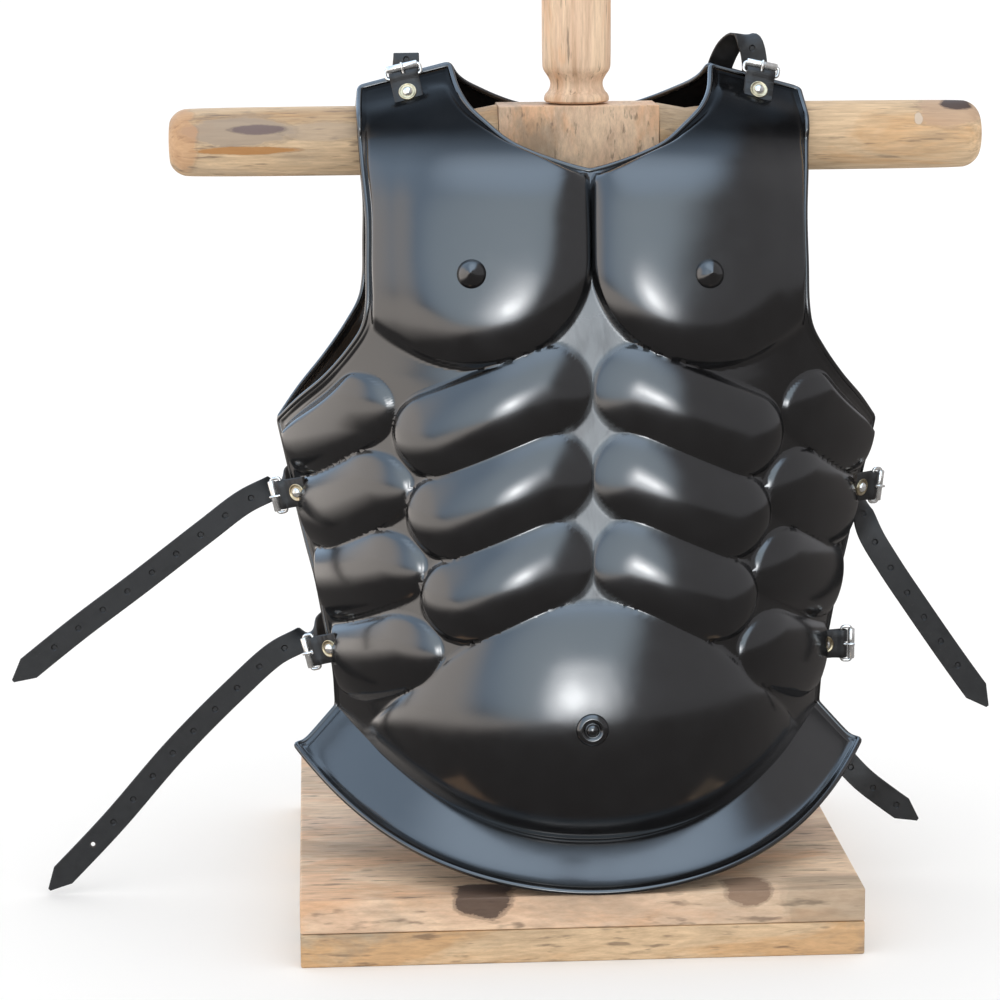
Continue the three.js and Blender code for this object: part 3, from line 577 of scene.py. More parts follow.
def half_grid(spec, rows):
    """x and z of one half of the plate, which rows start on the centre line, and the outer edge."""
    neck = spline(spec["neckline"])
    side = spline(SIDE_EDGE[::-1])
    arm = spline(ARMHOLE[::-1])
    rise, bend = spec["crease"]
    crease_end = np.array([SIDE_X, rise + bend * SIDE_X**2])
    outer = np.vstack([crease_end[None], side[side[:, 1] > crease_end[1] + 1], arm[1:]])
    spine = np.linspace([0, rise], spec["neckline"][0], 200)
    inner = np.vstack([spine, neck[1:]])
    whole = lengths(inner)[-1]
    split = lengths(spine)[-1] / whole
    v = spaced(whole, rows) * (1 - RIM_R / whole) / whole
    a = walk(inner, v * whole)
    b = walk(outer, v * lengths(outer)[-1])
    u = np.linspace(0, 1, FIRST_COLUMNS)
    bottom = np.stack([SIDE_X * u, rise + bend * (SIDE_X * u) ** 2], axis=-1)
    end_in, end_out = inner[-1], outer[-1]
    top = end_in + (end_out - end_in) * u[:, None]
    U, W = u[None, :, None], v[:, None, None]
    corners = (inner[0] * (1 - U) + outer[0] * U) * (1 - W) + (end_in * (1 - U) + end_out * U) * W
    grid = a[:, None] * (1 - U) + b[:, None] * U + bottom[None] * (1 - W) + top[None] * W - corners
    return grid, v <= split, outer


def even_rows(spec, grid, columns, on_spine):
    """Each row spaced along the metal, from the centre line or neck to the middle of the outer rim."""
    out = []
    for row, spine in zip(grid, on_spine):
        line = on_sheet(spec["depth"], row[:, 0], row[:, 1])
        start = 0 if spine else RIM_R
        out.append(walk(line, start + spaced(lengths(line)[-1] - RIM_R - start, columns)))
    return np.array(out)


def flange_points(spec, u, t):
    """Points of the flared waist flange: u from the centre to the side, t from the crease to the rim."""
    rise, bend = spec["crease"]
    x = SIDE_X * u
    z = rise + bend * x * x
    n = sheet_normal(spec["depth"], x, z, spec["facing"])
    n[..., 2] = 0
    n = unit(n)
    n[..., 0] = np.where(u == 0, 0, n[..., 0])
    size = spec["flange"]
    out = (size["out"] + (size["side"] - size["out"]) * u * u) * t
    down = size["down"] * (1 - np.log1p(np.exp(LIP_TURN * (1 - t / SKIRT))) / LIP_TURN)
    p = on_sheet(spec["depth"], x, z) + n * out[..., None]
    p[..., 2] -= down
    return p


def edge_lines(spec, outer):
    """The right half of the plate's edge: neck, shoulder and side on the sheet, then round the flange."""
    neck = spline(spec["neckline"])
    top = np.linspace(neck[-1], outer[-1], 60)[1:]
    edge = np.vstack([neck, top, outer[::-1][1:]])
    sheet_edge = on_sheet(spec["depth"], edge[:, 0], edge[:, 1])
    side = flange_points(spec, np.ones(40), np.linspace(0, 1, 40))[1:]
    rim = flange_points(spec, np.linspace(1, 0, 160), np.ones(160))[1:]
    return sheet_edge, np.vstack([sheet_edge, side, rim])


def near_edge(points, edge):
    """Distance of each point to the plate's edge."""
    line = resample(edge, 0.6)
    tree = kdtree.KDTree(len(line))
    for k, p in enumerate(line):
        tree.insert(p, k)
    tree.balance()
    return np.array([tree.find(p)[2] for p in points.reshape(-1, 3)]).reshape(points.shape[:-1])


def grid_normals(p, facing, free):
    """Normals of a grid of points; column 0 lies on the mirror plane in the rows below free."""
    du = np.gradient(p, axis=1)
    dv = np.gradient(p, axis=0)
    du[:free, 0] = (p[:free, 1] - p[:free, 0]) * (1, 0, 0)
    dv[:free, 0, 0] = 0
    n = unit(np.cross(du, dv))
    return n * np.where((n[..., 1].mean() * facing) < 0, -1, 1)


# %% Plate builder
def shell(outer_face, inner_face, free):
    """A closed wall between a fine outer grid and an inner one that keeps every second point."""
    rows, cols = outer_face.shape[:2]
    coarse = inner_face[::2, ::2]
    crows, ccols = coarse.shape[:2]
    verts = np.vstack([outer_face.reshape(-1, 3), coarse.reshape(-1, 3)])
    fine = np.arange(rows * cols).reshape(rows, cols)
    inside = rows * cols + np.arange(crows * ccols).reshape(crows, ccols)

    def quads(ids, flip):
        a, b, c, d = ids[:-1, :-1], ids[:-1, 1:], ids[1:, 1:], ids[1:, :-1]
        order = (d, c, b, a) if flip else (a, b, c, d)
        return np.stack(order, axis=-1).reshape(-1, 4).tolist()

    faces = quads(fine, False) + quads(inside, True)
    start = free - 1
    loops = [(fine[0], inside[0], False), (fine[-1], inside[-1], True),
             (fine[start:, 0], inside[start // 2:, 0], True), (fine[:, -1], inside[:, -1], False)]
    for f, g, flip in loops:
        for k in range(len(g) - 1):
            ring = [(f[2 * k], g[k], f[2 * k + 1]), (f[2 * k + 1], g[k], g[k + 1]),
                    (f[2 * k + 1], g[k + 1], f[2 * k + 2])]
            faces += [t[::-1] if flip else t for t in ring]
    return verts, faces


def build_half(spec, columns, rows, flange_rows):
    """Points of one half with its flange, the first row off the centre line, its rim, and bare depth."""
    grid, on_spine, outer = half_grid(spec, rows)
    body = even_rows(spec, grid, columns, on_spine)
    sheet_edge, rim = edge_lines(spec, outer)
    gap = near_edge(body, sheet_edge)
    chest = smooth((body[..., 2] - FOOT["from"]) / FOOT["over"])  # the chest runs right up to the rim
    foot = FOOT["side"] - (FOOT["side"] - FOOT["chest"]) * chest
    lift = spec["form"](body[..., 0], body[..., 2]) * smooth((gap - foot) / FOOT["rise"])
    normal = sheet_normal(spec["depth"], body[..., 0], body[..., 2], spec["facing"])
    across = body[0, :, 0] / SIDE_X
    to_side = lengths(body[0])[-1] - lengths(body[0]) + RIM_R
    body = body + normal * lift[..., None]
    span = math.hypot(spec["flange"]["out"], spec["flange"]["down"])
    from_rim = np.concatenate([np.arange(RIM_R, 10.5, 1.0), np.linspace(12, span - 1.2, flange_rows - 9)])
    flange = np.array([flange_points(spec, across, np.full(columns + 1, 1 - r / span)) for r in from_rim])
    half = np.concatenate([flange, body])
    gap = np.concatenate([np.minimum(from_rim[:, None], to_side[None]), gap])
    free = int(on_spine.sum()) + flange_rows
    free += 1 - free % 2
    half[:free, 0, 0] = 0
    step = BAND["height"] * smooth((BAND["width"] - gap) / 1.8)
    step -= BAND["groove"] * np.exp(-(((gap - BAND["width"] - 0.9) / 0.9) ** 2))
    half += grid_normals(half, spec["facing"], free) * step[..., None]
    half[:free, 0, 0] = 0
    bare = np.concatenate([np.full(flange.shape[:2], 99.0), lift])
    return half, free, rim, bare


# %% Front and back plates
def worn_valley(x, z, bare):
    """1 on the bare metal between the muscles, where the paint is scuffed, and 0 elsewhere."""
    return (np.exp(-((x / 24) ** 4)) * smooth((z - 225) / 25) * smooth((470 - z) / 60)
            * smooth((3.2 - bare) / 2.4))


def plate_piece(name, spec, columns, rows, flange_rows, stands_for):
    """Builds both halves of a plate as one piece and returns the half edge for its rim."""
    half, free, rim, bare = build_half(spec, columns, rows, flange_rows)
    normals = grid_normals(half, spec["facing"], free)
    verts, faces = shell(half + normals * STEEL / 2, half - normals * STEEL / 2, free)
    x, z = half[..., 0], half[..., 2]
    hollow = worn_valley(x, z, bare) * (spec["facing"] < 0)
    top_shade = smooth((z - 540) / 30)  # painted shade: the shoulder tops lose their gloss so they read dark
    points, polygons = [], []
    for sign in (1, -1):
        flip = (sign < 0) != (spec["facing"] > 0)
        start = len(points) * len(verts)
        polygons += [tuple(int(i) + start for i in (f[::-1] if flip else f)) for f in faces]
        points.append(verts * (sign, 1, 1))
    mesh = bpy.data.meshes.new(name)
    mesh.from_pydata((hang(np.vstack(points)) * MM).tolist(), [], polygons)
    for key, field in (("hollow", hollow), ("shoulder_shade", top_shade)):
        both = np.concatenate([field.ravel(), field[::2, ::2].ravel()])
        mesh.attributes.new(key, "FLOAT", "POINT").data.foreach_set("value", np.tile(both, 2))
    finish_piece(name, cleaned(mesh, SEAM_WELD), ENAMEL, stands_for, crease=60)
    return rim


FRONT_SPEC = {"depth": FRONT, "facing": -1, "neckline": NECKLINE, "crease": CREASE, "flange": FLANGE,
              "form": muscles}
BACK_SPEC = {"depth": BACK, "facing": 1, "neckline": BACK_NECKLINE, "crease": BACK_CREASE,
             "flange": BACK_FLANGE, "form": back_form}
front_rim = plate_piece("front_plate_sheet", FRONT_SPEC, 120, 262, 18, ["front_plate"])
back_rim = plate_piece("back_plate_sheet", BACK_SPEC, 60, 120, 16, ["back_plate"])


# %% [markdown]
# ## Rolled rims
# The edge of a real breastplate is rolled over a wire, so it feels like a round bead. A rod follows the
# whole edge here. It is grown by Geometry Nodes: the edge goes in as a line of points, a circle is swept
# along it, and the result is kept as a plain mesh.

# %% Helpers for Geometry Nodes
def geometry_tree(name, sockets):
    """An empty node tree with named inputs and one geometry output."""
    tree = bpy.data.node_groups.new(name, "GeometryNodeTree")
    for label, kind in [("Geometry", "Geometry"), *sockets]:
        tree.interface.new_socket(label, in_out="INPUT", socket_type="NodeSocket" + kind)
    tree.interface.new_socket("Geometry", in_out="OUTPUT", socket_type="NodeSocketGeometry")
    return tree


def line_of(points, attributes=(), closed=False):
    """A helper object: a chain of points, in metres, with vectors stored on them."""
    mesh = bpy.data.meshes.new("helper")
    count = len(points)
    edges = [(k, (k + 1) % count) for k in range(count if closed else count - 1)]
    mesh.from_pydata((np.asarray(points) * MM).tolist(), edges, [])
    for label, values in attributes:
        mesh.attributes.new(label, "FLOAT_VECTOR", "POINT").data.foreach_set("vector", np.ravel(values))
    obj = bpy.data.objects.new("helper", mesh)
    SCENE.collection.objects.link(obj)
    return obj


def grow(source, tree, **settings):
    """Runs a tree on a helper object and returns the result as a plain mesh facing outwards."""
    modifier = source.modifiers.new("grow", "NODES")
    modifier.node_group = tree
    for item in tree.interface.items_tree:
        label = item.name.replace(" ", "_").lower()
        if item.in_out == "INPUT" and label in settings:
            modifier[item.identifier] = settings[label]
    source.update_tag()
    graph = bpy.context.evaluated_depsgraph_get()
    mesh = bpy.data.meshes.new_from_object(source.evaluated_get(graph), depsgraph=graph)
    source.modifiers.remove(modifier)
    bpy.data.objects.remove(source)
    return cleaned(mesh)


# %% Rod tree
def rod_tree():
    tree = geometry_tree("rod_along_path", [("Radius", "Float"), ("Sides", "Int"), ("Finish", "Material")])
    given = tree.nodes.new("NodeGroupInput").outputs
    path = add_node(tree, "GeometryNodeMeshToCurve", Mesh=given["Geometry"])
    ring = add_node(tree, "GeometryNodeCurvePrimitiveCircle", Resolution=given["Sides"],
                    Radius=given["Radius"])
    rod = add_node(tree, "GeometryNodeCurveToMesh", Curve=path.outputs[0], Profile_Curve=ring.outputs[0],
                   Fill_Caps=True)
    real = add_node(tree, "GeometryNodeRealizeInstances", Geometry=rod.outputs[0])
    done = add_node(tree, "GeometryNodeSetMaterial", Geometry=real.outputs[0], Material=given["Finish"])
    tree.links.new(done.outputs[0], tree.nodes.new("NodeGroupOutput").inputs[0])
    return tree


RODS = rod_tree()


def rod(points, radius, sides, material, closed=False):
    return grow(line_of(points, closed=closed), RODS, radius=radius * MM, sides=sides, finish=material)


# %% Front and back rims
def rim_piece(name, half_edge, stands_for):
    other = half_edge[::-1][1:-1] * (-1, 1, 1)
    loop = resample(np.vstack([half_edge, other, half_edge[:1]]), 1.6)[:-1]
    for _ in range(3):
        loop = 0.5 * loop + 0.25 * (np.roll(loop, 1, axis=0) + np.roll(loop, -1, axis=0))
    mesh = rod(hang(loop), RIM_R, 12, ENAMEL, closed=True)
    mesh.attributes.new("hollow", "FLOAT", "POINT")
    return finish_piece(name, mesh, ENAMEL, stands_for)


rim_piece("front_plate_rim", front_rim, ["front_plate"])
rim_piece("back_plate_rim", back_rim, ["back_plate"])


# %% [markdown]
# ## Raised buttons
# The nipples and the navel are small turned buttons on the form. Each is a profile spun round its own
# axis, set along the metal's normal, with a thin collar that beds it into the paint.

# %% Turned shapes
BUTTON_SIDES = 48


def turned(profile, segments):
    """Vertices and faces of a turned solid about z; the profile is (radius, height) from the base up."""
    angle = np.linspace(0, 2 * math.pi, segments, endpoint=False)
    verts, rings = [], []
    for r, h in profile:
        if r == 0:
            rings.append([len(verts)] * segments)
            verts.append((0, 0, h))
        else:
            rings.append(list(range(len(verts), len(verts) + segments)))
            verts += [(r * math.cos(a), r * math.sin(a), h) for a in angle]
    faces = []
    for low, high in zip(rings, rings[1:]):
        for k in range(segments):
            j = (k + 1) % segments
            faces.append(tuple(dict.fromkeys([low[k], low[j], high[j], high[k]])))
    return np.array(verts), faces


def base_cap(segments):
    """The flat face that closes a turned shape's open base."""
    return [tuple(range(segments - 1, -1, -1))]


def rounded(profile, rounds=2):
    """Cuts the corners of a profile, so edges catch the light."""
    p = np.array(profile, float)
    for _ in range(rounds):
        inside = np.stack([0.75 * p[:-1] + 0.25 * p[1:], 0.25 * p[:-1] + 0.75 * p[1:]], axis=1).reshape(-1, 2)
        p = np.vstack([p[:1], inside, p[-1:]])
    return p


def aimed(points, origin, s, w, n):
    """Places points given along the three directions s, w, n."""
    return np.asarray(origin) + points @ np.array([s, w, n])


def bare_front(x, z):
    """A point of the front sheet without its muscles."""
    return on_sheet(FRONT, np.array(x), np.array(z))


def raised_front(x, z):
    """A point of the front sheet with its muscles."""
    x, z = np.array(x), np.array(z)
    return on_sheet(FRONT, x, z) + sheet_normal(FRONT, x, z, -1) * muscles(x, z)


def outward(at, x, z, e):
    """The normal of a front surface at x, z, from points e to each side."""
    n = unit(np.cross(at(x + e, z) - at(x - e, z), at(x, z + e) - at(x, z - e)))
    return n if n[1] < 0 else -n


# %% Nipples and navel
NIPPLE_PROFILE = [(10.4, -1.5), (10.3, 0.2), (9.6, 1.6), (7.9, 3.9), (5.2, 5.9), (2.4, 7.3), (1.3, 8.0),
                  (0, 8.4)]
NAVEL_PROFILE = [(11.4, -1.5), (11.4, 0.4), (10.4, 2.0), (8.4, 3.1), (6.6, 3.0), (5.2, 1.9), (4.3, 2.1),
                 (3.7, 3.9), (2.2, 4.8), (0, 5.0)]


def button(name, x, z, profile):
    p, n = raised_front(x, z), outward(raised_front, x, z, 1.0)
    s = unit(np.cross((0, 0, 1), n))
    verts, faces = turned(rounded(profile), BUTTON_SIDES)
    verts = aimed(verts, p + n * STEEL / 2, s, np.cross(n, s), n)
    piece(name, hang(verts), faces + base_cap(BUTTON_SIDES), ENAMEL, ["front_plate"])


for side, (x, z) in NIPPLES.items():
    button("nipple_" + side, x, z, NIPPLE_PROFILE)
button("navel_button", *NAVEL, NAVEL_PROFILE)


# %% [markdown]
# ## Leather
# Straps and buckle tabs are cut flat from 2 mm harness leather, punched, and then bent to where they lie.
# They are made in the same order: a flat pattern with its holes, then a node tree that lays the pattern
# along a route. The route carries the direction that the leather's face looks.

# %% Flat leather pattern
LEATHER_T = 2.2
BEVEL = 0.5
HOLE_R = 1.9
RING = 16  # points round a hole
PIN_LINE, WEB = 2.3, 4.6  # rows of the pattern beside each round hole


def stations(total, marks, gap):
    """Sorted stations from 0 to total that include the marks and leave no gap wider than given."""
    base = sorted({0.0, float(total), *[float(m) for m in marks]})
    out = [0.0]
    for a, b in zip(base, base[1:]):
        out += np.linspace(a, b, max(1, math.ceil((b - a) / gap)) + 1)[1:].tolist()
    return np.array(out)


def hole_levels(thick):
    """Radius and height of each ring down a punched hole, from the top face to the lower one."""
    return [(HOLE_R + 0.6, thick / 2), (HOLE_R, thick / 2 - BEVEL), (HOLE_R - 0.3, 0.15),
            (HOLE_R - 0.3, -0.15), (HOLE_R, -thick / 2 + BEVEL), (HOLE_R + 0.6, -thick / 2)]


def leather_pattern(length, width, thick, holes=(), through=(), slot=None, tip=0.0, gap=3.0):
    """A flat strip along x with round holes, a slot (start, end, half width) or a pointed tip.

    Returns its vertices, its faces, and how many of them are smooth face and not cut edge."""
    half = width / 2
    across = [-half, -half + BEVEL, -WEB, -PIN_LINE, 0, PIN_LINE, WEB, half - BEVEL, half]
    marks = [c + d for c in holes for d in (-WEB, -PIN_LINE, 0, PIN_LINE, WEB)]
    marks += [length - tip] if tip else []
    if slot:
        across = [-half, -half + BEVEL, -half / 2, -slot[2], 0, slot[2], half / 2, half - BEVEL, half]
        marks += [slot[0], slot[1]]
    s = stations(length, marks, gap)
    row_at = lambda place: int(np.argmin(np.abs(s - place)))
    a = np.array(across)
    taper = np.clip((length - s) / tip, 0, 1) * (1 - 1.2 / half) + 1.2 / half if tip else np.ones_like(s)
    height = np.where(np.abs(a) > half - BEVEL / 2, thick / 2 - BEVEL, thick / 2)
    rows, cols = len(s), len(a)
    S, A = np.meshgrid(s, a, indexing="ij")
    A = A * taper[:, None]
    H = np.broadcast_to(height, S.shape)
    verts = np.vstack([np.stack([S, A, H], -1).reshape(-1, 3), np.stack([S, A, -H], -1).reshape(-1, 3)])
    top = np.arange(rows * cols).reshape(rows, cols)
    low = top + rows * cols
    solid = np.ones((rows - 1, cols - 1), bool)
    rings = []
    for c in holes:
        i = row_at(c - WEB)
        solid[i:i + 4, 2:6] = False
        rings.append((c, [(i, j) for j in range(2, 7)] + [(k, 6) for k in range(i + 1, i + 5)]
                      + [(i + 4, j) for j in range(5, 1, -1)] + [(k, 2) for k in range(i + 3, i, -1)]))
    if slot:
        slot_rows = row_at(slot[0]), row_at(slot[1])
        solid[slice(*slot_rows), 3:5] = False
    faces, cut = [], []
    for i in range(rows - 1):
        for j in range(cols - 1):
            if solid[i, j]:
                faces.append((top[i, j], top[i + 1, j], top[i + 1, j + 1], top[i, j + 1]))
                faces.append((low[i, j], low[i, j + 1], low[i + 1, j + 1], low[i + 1, j]))
    cut_edges = [(top[i, j], top[i + 1, j]) for j in (0, cols - 1) for i in range(rows - 1)]
    cut_edges += [(top[i, j], top[i, j + 1]) for i in (0, rows - 1) for j in range(cols - 1)]
    if slot:
        cut_edges += [(top[k, c], top[k + 1, c]) for c in (3, 5) for k in range(*slot_rows)]
        cut_edges += [(top[k, c], top[k, c + 1]) for c in (3, 4) for k in slot_rows]
    for p, q in cut_edges:
        cut.append((p, q, q + rows * cols, p + rows * cols))
    extra = []
    for c, ring in rings:
        around = np.array([verts[top[i, j]][:2] - (c, 0) for i, j in ring])
        ways = unit(around)
        start = len(verts) + sum(len(e) for e in extra)
        extra += [np.column_stack([c + ways[:, 0] * r, ways[:, 1] * r, np.full(RING, h)])
                  for r, h in hole_levels(thick)]
        loops = [[top[i, j] for i, j in ring]]
        loops += [list(range(start + RING * k, start + RING * (k + 1))) for k in range(6)]
        loops += [[low[i, j] for i, j in ring]]
        if c not in through:  # the punch leaves a skin of leather, and only a dimple shows
            faces += [tuple(loops[3]), tuple(loops[4][::-1])]
        for k, (p, q) in enumerate(zip(loops, loops[1:])):
            if k == 3 and c not in through:
                continue
            wall = [(p[m], p[(m + 1) % RING], q[(m + 1) % RING], q[m]) for m in range(RING)]
            (cut if 0 < k < 6 and c in through else faces).extend(wall)
    verts = np.vstack([verts, *extra]) if extra else verts
    everything = [tuple(int(v) for v in f) for f in faces + cut]
    used = sorted({v for f in everything for v in f})
    place = {v: k for k, v in enumerate(used)}
    return verts[used], [tuple(place[v] for v in f) for f in everything], len(faces)


# %% Tree that lays a flat pattern along a route
def lay_tree():
    tree = geometry_tree("lay_along_route", [("Route", "Object"), ("Face", "Material"), ("Edge", "Material")])
    given = tree.nodes.new("NodeGroupInput").outputs
    route = add_node(tree, "GeometryNodeObjectInfo", Object=given["Route"])
    path = add_node(tree, "GeometryNodeMeshToCurve", Mesh=route.outputs["Geometry"])
    looks = add_node(tree, "GeometryNodeInputNamedAttribute", {"data_type": "FLOAT_VECTOR"}, Name="looks")
    here = add_node(tree, "GeometryNodeInputPosition").outputs[0]
    flat = add_node(tree, "ShaderNodeSeparateXYZ", Vector=here).outputs
    sample = add_node(tree, "GeometryNodeSampleCurve", {"mode": "LENGTH", "data_type": "FLOAT_VECTOR"},
                      Curves=path.outputs[0], Value=looks.outputs[0], Length=flat[0])
    out = {s.name: s for s in sample.outputs if s.enabled}

    def vector(operation, a, b=None, scale=None):
        node = add_node(tree, "ShaderNodeVectorMath", {"operation": operation}, _0=a)
        if b is not None:
            tree.links.new(b, node.inputs[1])
        if scale is not None:
            tree.links.new(scale, node.inputs["Scale"])
        return node.outputs[0]

    side = vector("NORMALIZE", vector("CROSS_PRODUCT", out["Tangent"], out["Value"]))
    up = vector("CROSS_PRODUCT", side, out["Tangent"])
    place = vector("ADD", out["Position"], vector("ADD", vector("SCALE", side, scale=flat[1]),
                                                  vector("SCALE", up, scale=flat[2])))
    bent = add_node(tree, "GeometryNodeSetPosition", Geometry=given["Geometry"], Position=place)
    real = add_node(tree, "GeometryNodeRealizeInstances", Geometry=bent.outputs[0])
    faced = add_node(tree, "GeometryNodeSetMaterial", Geometry=real.outputs[0], Material=given["Face"])
    cut = add_node(tree, "GeometryNodeInputNamedAttribute", {"data_type": "BOOLEAN"}, Name="cut")
    edged = add_node(tree, "GeometryNodeSetMaterial", Geometry=faced.outputs[0], Selection=cut.outputs[0],
                     Material=given["Edge"])
    tree.links.new(edged.outputs[0], tree.nodes.new("NodeGroupOutput").inputs[0])
    return tree


LAY = lay_tree()


def lay(pattern, route, looks):
    """Bends a flat pattern along a route whose points carry the direction that the face looks."""
    verts, faces, plain = pattern
    helper = line_of(route, [("looks", unit(looks))])
    mesh = bpy.data.meshes.new("pattern")
    mesh.from_pydata((verts * MM).tolist(), [], faces)
    cut = np.arange(len(faces)) >= plain
    mesh.attributes.new("cut", "BOOLEAN", "FACE").data.foreach_set("value", cut)
    flat = bpy.data.objects.new("pattern", mesh)
    SCENE.collection.objects.link(flat)
    out = grow(flat, LAY, route=helper, face=LEATHER, edge=CUT_EDGE)
    bpy.data.objects.remove(helper)
    return out


# %% Straps
STRAP_W = 18.5
HOLE_PITCH = 23
STRAP_TIP = 15
RIVET_FROM_END = 6
STRAPS = {
    # name: (first hole, holes, pointed tip, stations of x, y, z and where the face looks)
    "left_upper": (52, 9, True, [
        (-208, 33, 308, -0.72, 0.69, 0), (-214, 20, 307, -0.97, 0.2, 0), (-219, 11, 305, -0.9, -0.43, 0),
        (-227, 5.5, 301.5, -0.4, -0.9, 0), (-247, 1, 292.5, 0, -1, 0), (-277, -3, 271, 0, -1, 0),
        (-325, -3, 234.5, 0, -1, 0), (-373, -3, 199, 0, -1, 0), (-421, -3, 161, 0, -1, 0)]),
    "left_lower": (52, 10, True, [
        (-186, 17, 199, -0.72, 0.69, 0), (-193, 3, 197, -0.97, 0.2, 0), (-198, -6, 194.5, -0.9, -0.43, 0),
        (-207, -12, 190, -0.4, -0.9, 0), (-226, -16, 181, 0, -1, 0), (-257, -18, 154, 0, -1, 0),
        (-301, -18, 110, 0, -1, 0), (-350, -18, 54, 0, -1, 0), (-398, -18, 4, 0, -1, 0)]),
    "right_upper": (45, 8, True, [
        (205, 33, 303, 0.72, 0.69, 0), (210, 20, 298, 0.97, 0.2, 0), (213, 10, 289, 0.9, -0.43, 0),
        (214, 3, 277, 0.5, -0.87, 0), (219, 0, 261, 0.1, -1, 0), (233, -2, 237, 0, -1, 0),
        (255, -3, 204, 0, -1, 0), (284, -3, 162, 0, -1, 0), (310, -3, 126, 0, -1, 0)]),
    "right_lower": (76, 5, True, [
        (184, 17, 189, 0.72, 0.69, 0), (182, 15, 176, 0.9, 0.4, 0), (176, 13, 158, 1, 0.1, 0),
        (173, 10, 138, 1, -0.1, 0), (178, 4, 117, 0.7, -0.7, 0), (194, -8, 96, 0.1, -1, 0),
        (212, -15, 76, 0, -1, 0), (234, -15, 58, 0, -1, 0), (256, -15, 42, 0, -1, 0)]),
    "left_shoulder": (53, 1, False, [
        (-124, 38, 583, 0, 0.6, 0.8), (-124, 27, 595, 0, 0.72, 0.7), (-124, 19.5, 605, 0, 0.8, 0.6),
        (-123, 14.5, 616, 0, 0.7, 0.7), (-123, 9, 619.5, 0, -0.1, 1), (-123, 6.0, 614, 0, -0.97, 0.25),
        (-124, 6.4, 605, 0, -1, 0), (-124, 7.5, 597, 0, -1, -0.2), (-124, 9.5, 590, 0, -1, -0.2)]),
    "right_shoulder": (72, 1, False, [
        (107, 44, 586, 0, 0.6, 0.8), (107, 33, 600, 0, 0.74, 0.67), (109, 25, 611, 0, 0.9, 0.43),
        (114, 19.5, 622, 0, 0.8, 0.6), (121.5, 12.5, 630, 0, 0.2, 1), (127.5, 7.5, 624.5, 0, -0.9, 0.4),
        (130.5, 7.2, 613, 0, -1, 0.1), (131, 7.6, 605, 0, -1, 0), (131.3, 7.5, 597, 0, -1, -0.2),
        (131.5, 9.5, 590, 0, -1, -0.2)]),
}
RIVETS = []  # place, direction it stands along, and the node it stands for


def strap_route(rows):
    """A strap's path, and the direction its face looks at each point."""
    table = np.array(rows, float)
    route = spline(table[:, :3])
    at = np.linspace(0, len(table) - 1, len(route))
    looks = np.stack([np.interp(at, range(len(table)), table[:, k]) for k in (3, 4, 5)], axis=-1)
    return route, looks


for label, (first, count, pointed, rows) in STRAPS.items():
    route, looks = strap_route(rows)
    total = lengths(route)[-1]
    holes = [first + k * HOLE_PITCH for k in range(count)]
    holes = [h for h in holes if h < total - (20 if pointed else 6)]
    punched = holes[-1:] if label == "left_lower" else []  # light shows through this one hole
    pattern = leather_pattern(total, STRAP_W, LEATHER_T, holes, through=punched,
                              tip=STRAP_TIP if pointed else 0)
    finish_piece("strap_" + label, lay(pattern, route, looks), [LEATHER, CUT_EDGE], ["strap_" + label],
                 35)
    k = int(np.searchsorted(lengths(route), RIVET_FROM_END))
    way = unit(route[k + 1] - route[k - 1])
    out = unit(looks[k] - way * looks[k].dot(way))
    RIVETS.append((route[k] + out * (LEATHER_T / 2 - 0.1), out, f"strap_{label}_rivet"))


# %% [markdown]
# ## Buckles
# Each buckle is a bent wire frame with a roller on its front bar and a tongue on its back bar. A tab of
# leather folds round the back bar and is riveted to the plate. The parts are laid out along three
# directions: s towards the roller, w along it, and n away from the plate.

# %% Buckle places
PIVOT = np.array([12, 3.4])  # the back bar along s and n, from the rivet's place on the plate
ROLLER = np.array([18.2, 5.2])
BUCKLE_W = 28
TAB_W = 21
TAB_T = 1.7
SLOT = (5, 1.7)  # half length and half width of the tongue's slot in a tab
WIRE_R = 1.2
PIN_R = 0.95
RIVET_AT = (-1.4, 3.95)
BUCKLES = {
    # rivet x, z, roller's direction, the way it points, how far the leather stands off the metal
    "left_shoulder": (-125.5, 590, (0.975, 0, 0.22), (0, 0, 1), 0.5),
    "right_shoulder": (127, 592, (0.985, 0, -0.17), (0, 0, 1), 0.5),
    "left_upper": (-202.5, 302, (0.27, 0, -0.96), (-1, 0, 0), 0.45),
    "left_lower": (-178.5, 190, (0.33, 0, -0.94), (-1, 0, 0), 0.45),
    "right_upper": (203.5, 304, (-0.05, 0, -0.99), (1, 0, 0), 0.3),
    "right_lower": (180.5, 189.5, (0.02, 0, -1), (1, 0, 0), 0.8),
}


def buckle_frame(x, z, along, towards, stand_off):
    """A buckle's place on the front plate and its three directions s, w and n."""
    n = outward(bare_front, x, z, 1.5)
    n = unit(n * (1 - stand_off) - np.array([0, stand_off, 0]))
    w = unit(np.array(along, float) - n * n.dot(along))
    s = np.cross(w, n)
    if s.dot(towards) < 0:
        s, w = -s, -w
    lift = 0.6 * min(float(muscles(x, z)), 7)  # a tab rides up where a side muscle is raised
    return bare_front(x, z) + n * (3 + lift), s, w, n


def arc(centre, r, start, end, count):
    a = np.radians(np.linspace(start, end, count))
    return np.stack([centre[0] + r * np.cos(a), centre[1] + r * np.sin(a)], axis=-1)


def in_plane(sn):
    """Points of the s, n plane as s, w, n."""
    return np.stack([sn[:, 0], np.zeros(len(sn)), sn[:, 1]], axis=-1)


# %% Buckle parts
def tab_path():
    fold = arc(PIVOT, 2.9, -110, 128, 24)
    under, over = [(-9, 1.35), (-3, 1.2), (5, 1.0)], [(7.6, 4.0), (4.5, 3.3), (-9, 3.15)]
    return resample(np.vstack([under, fold, over]), 0.5)


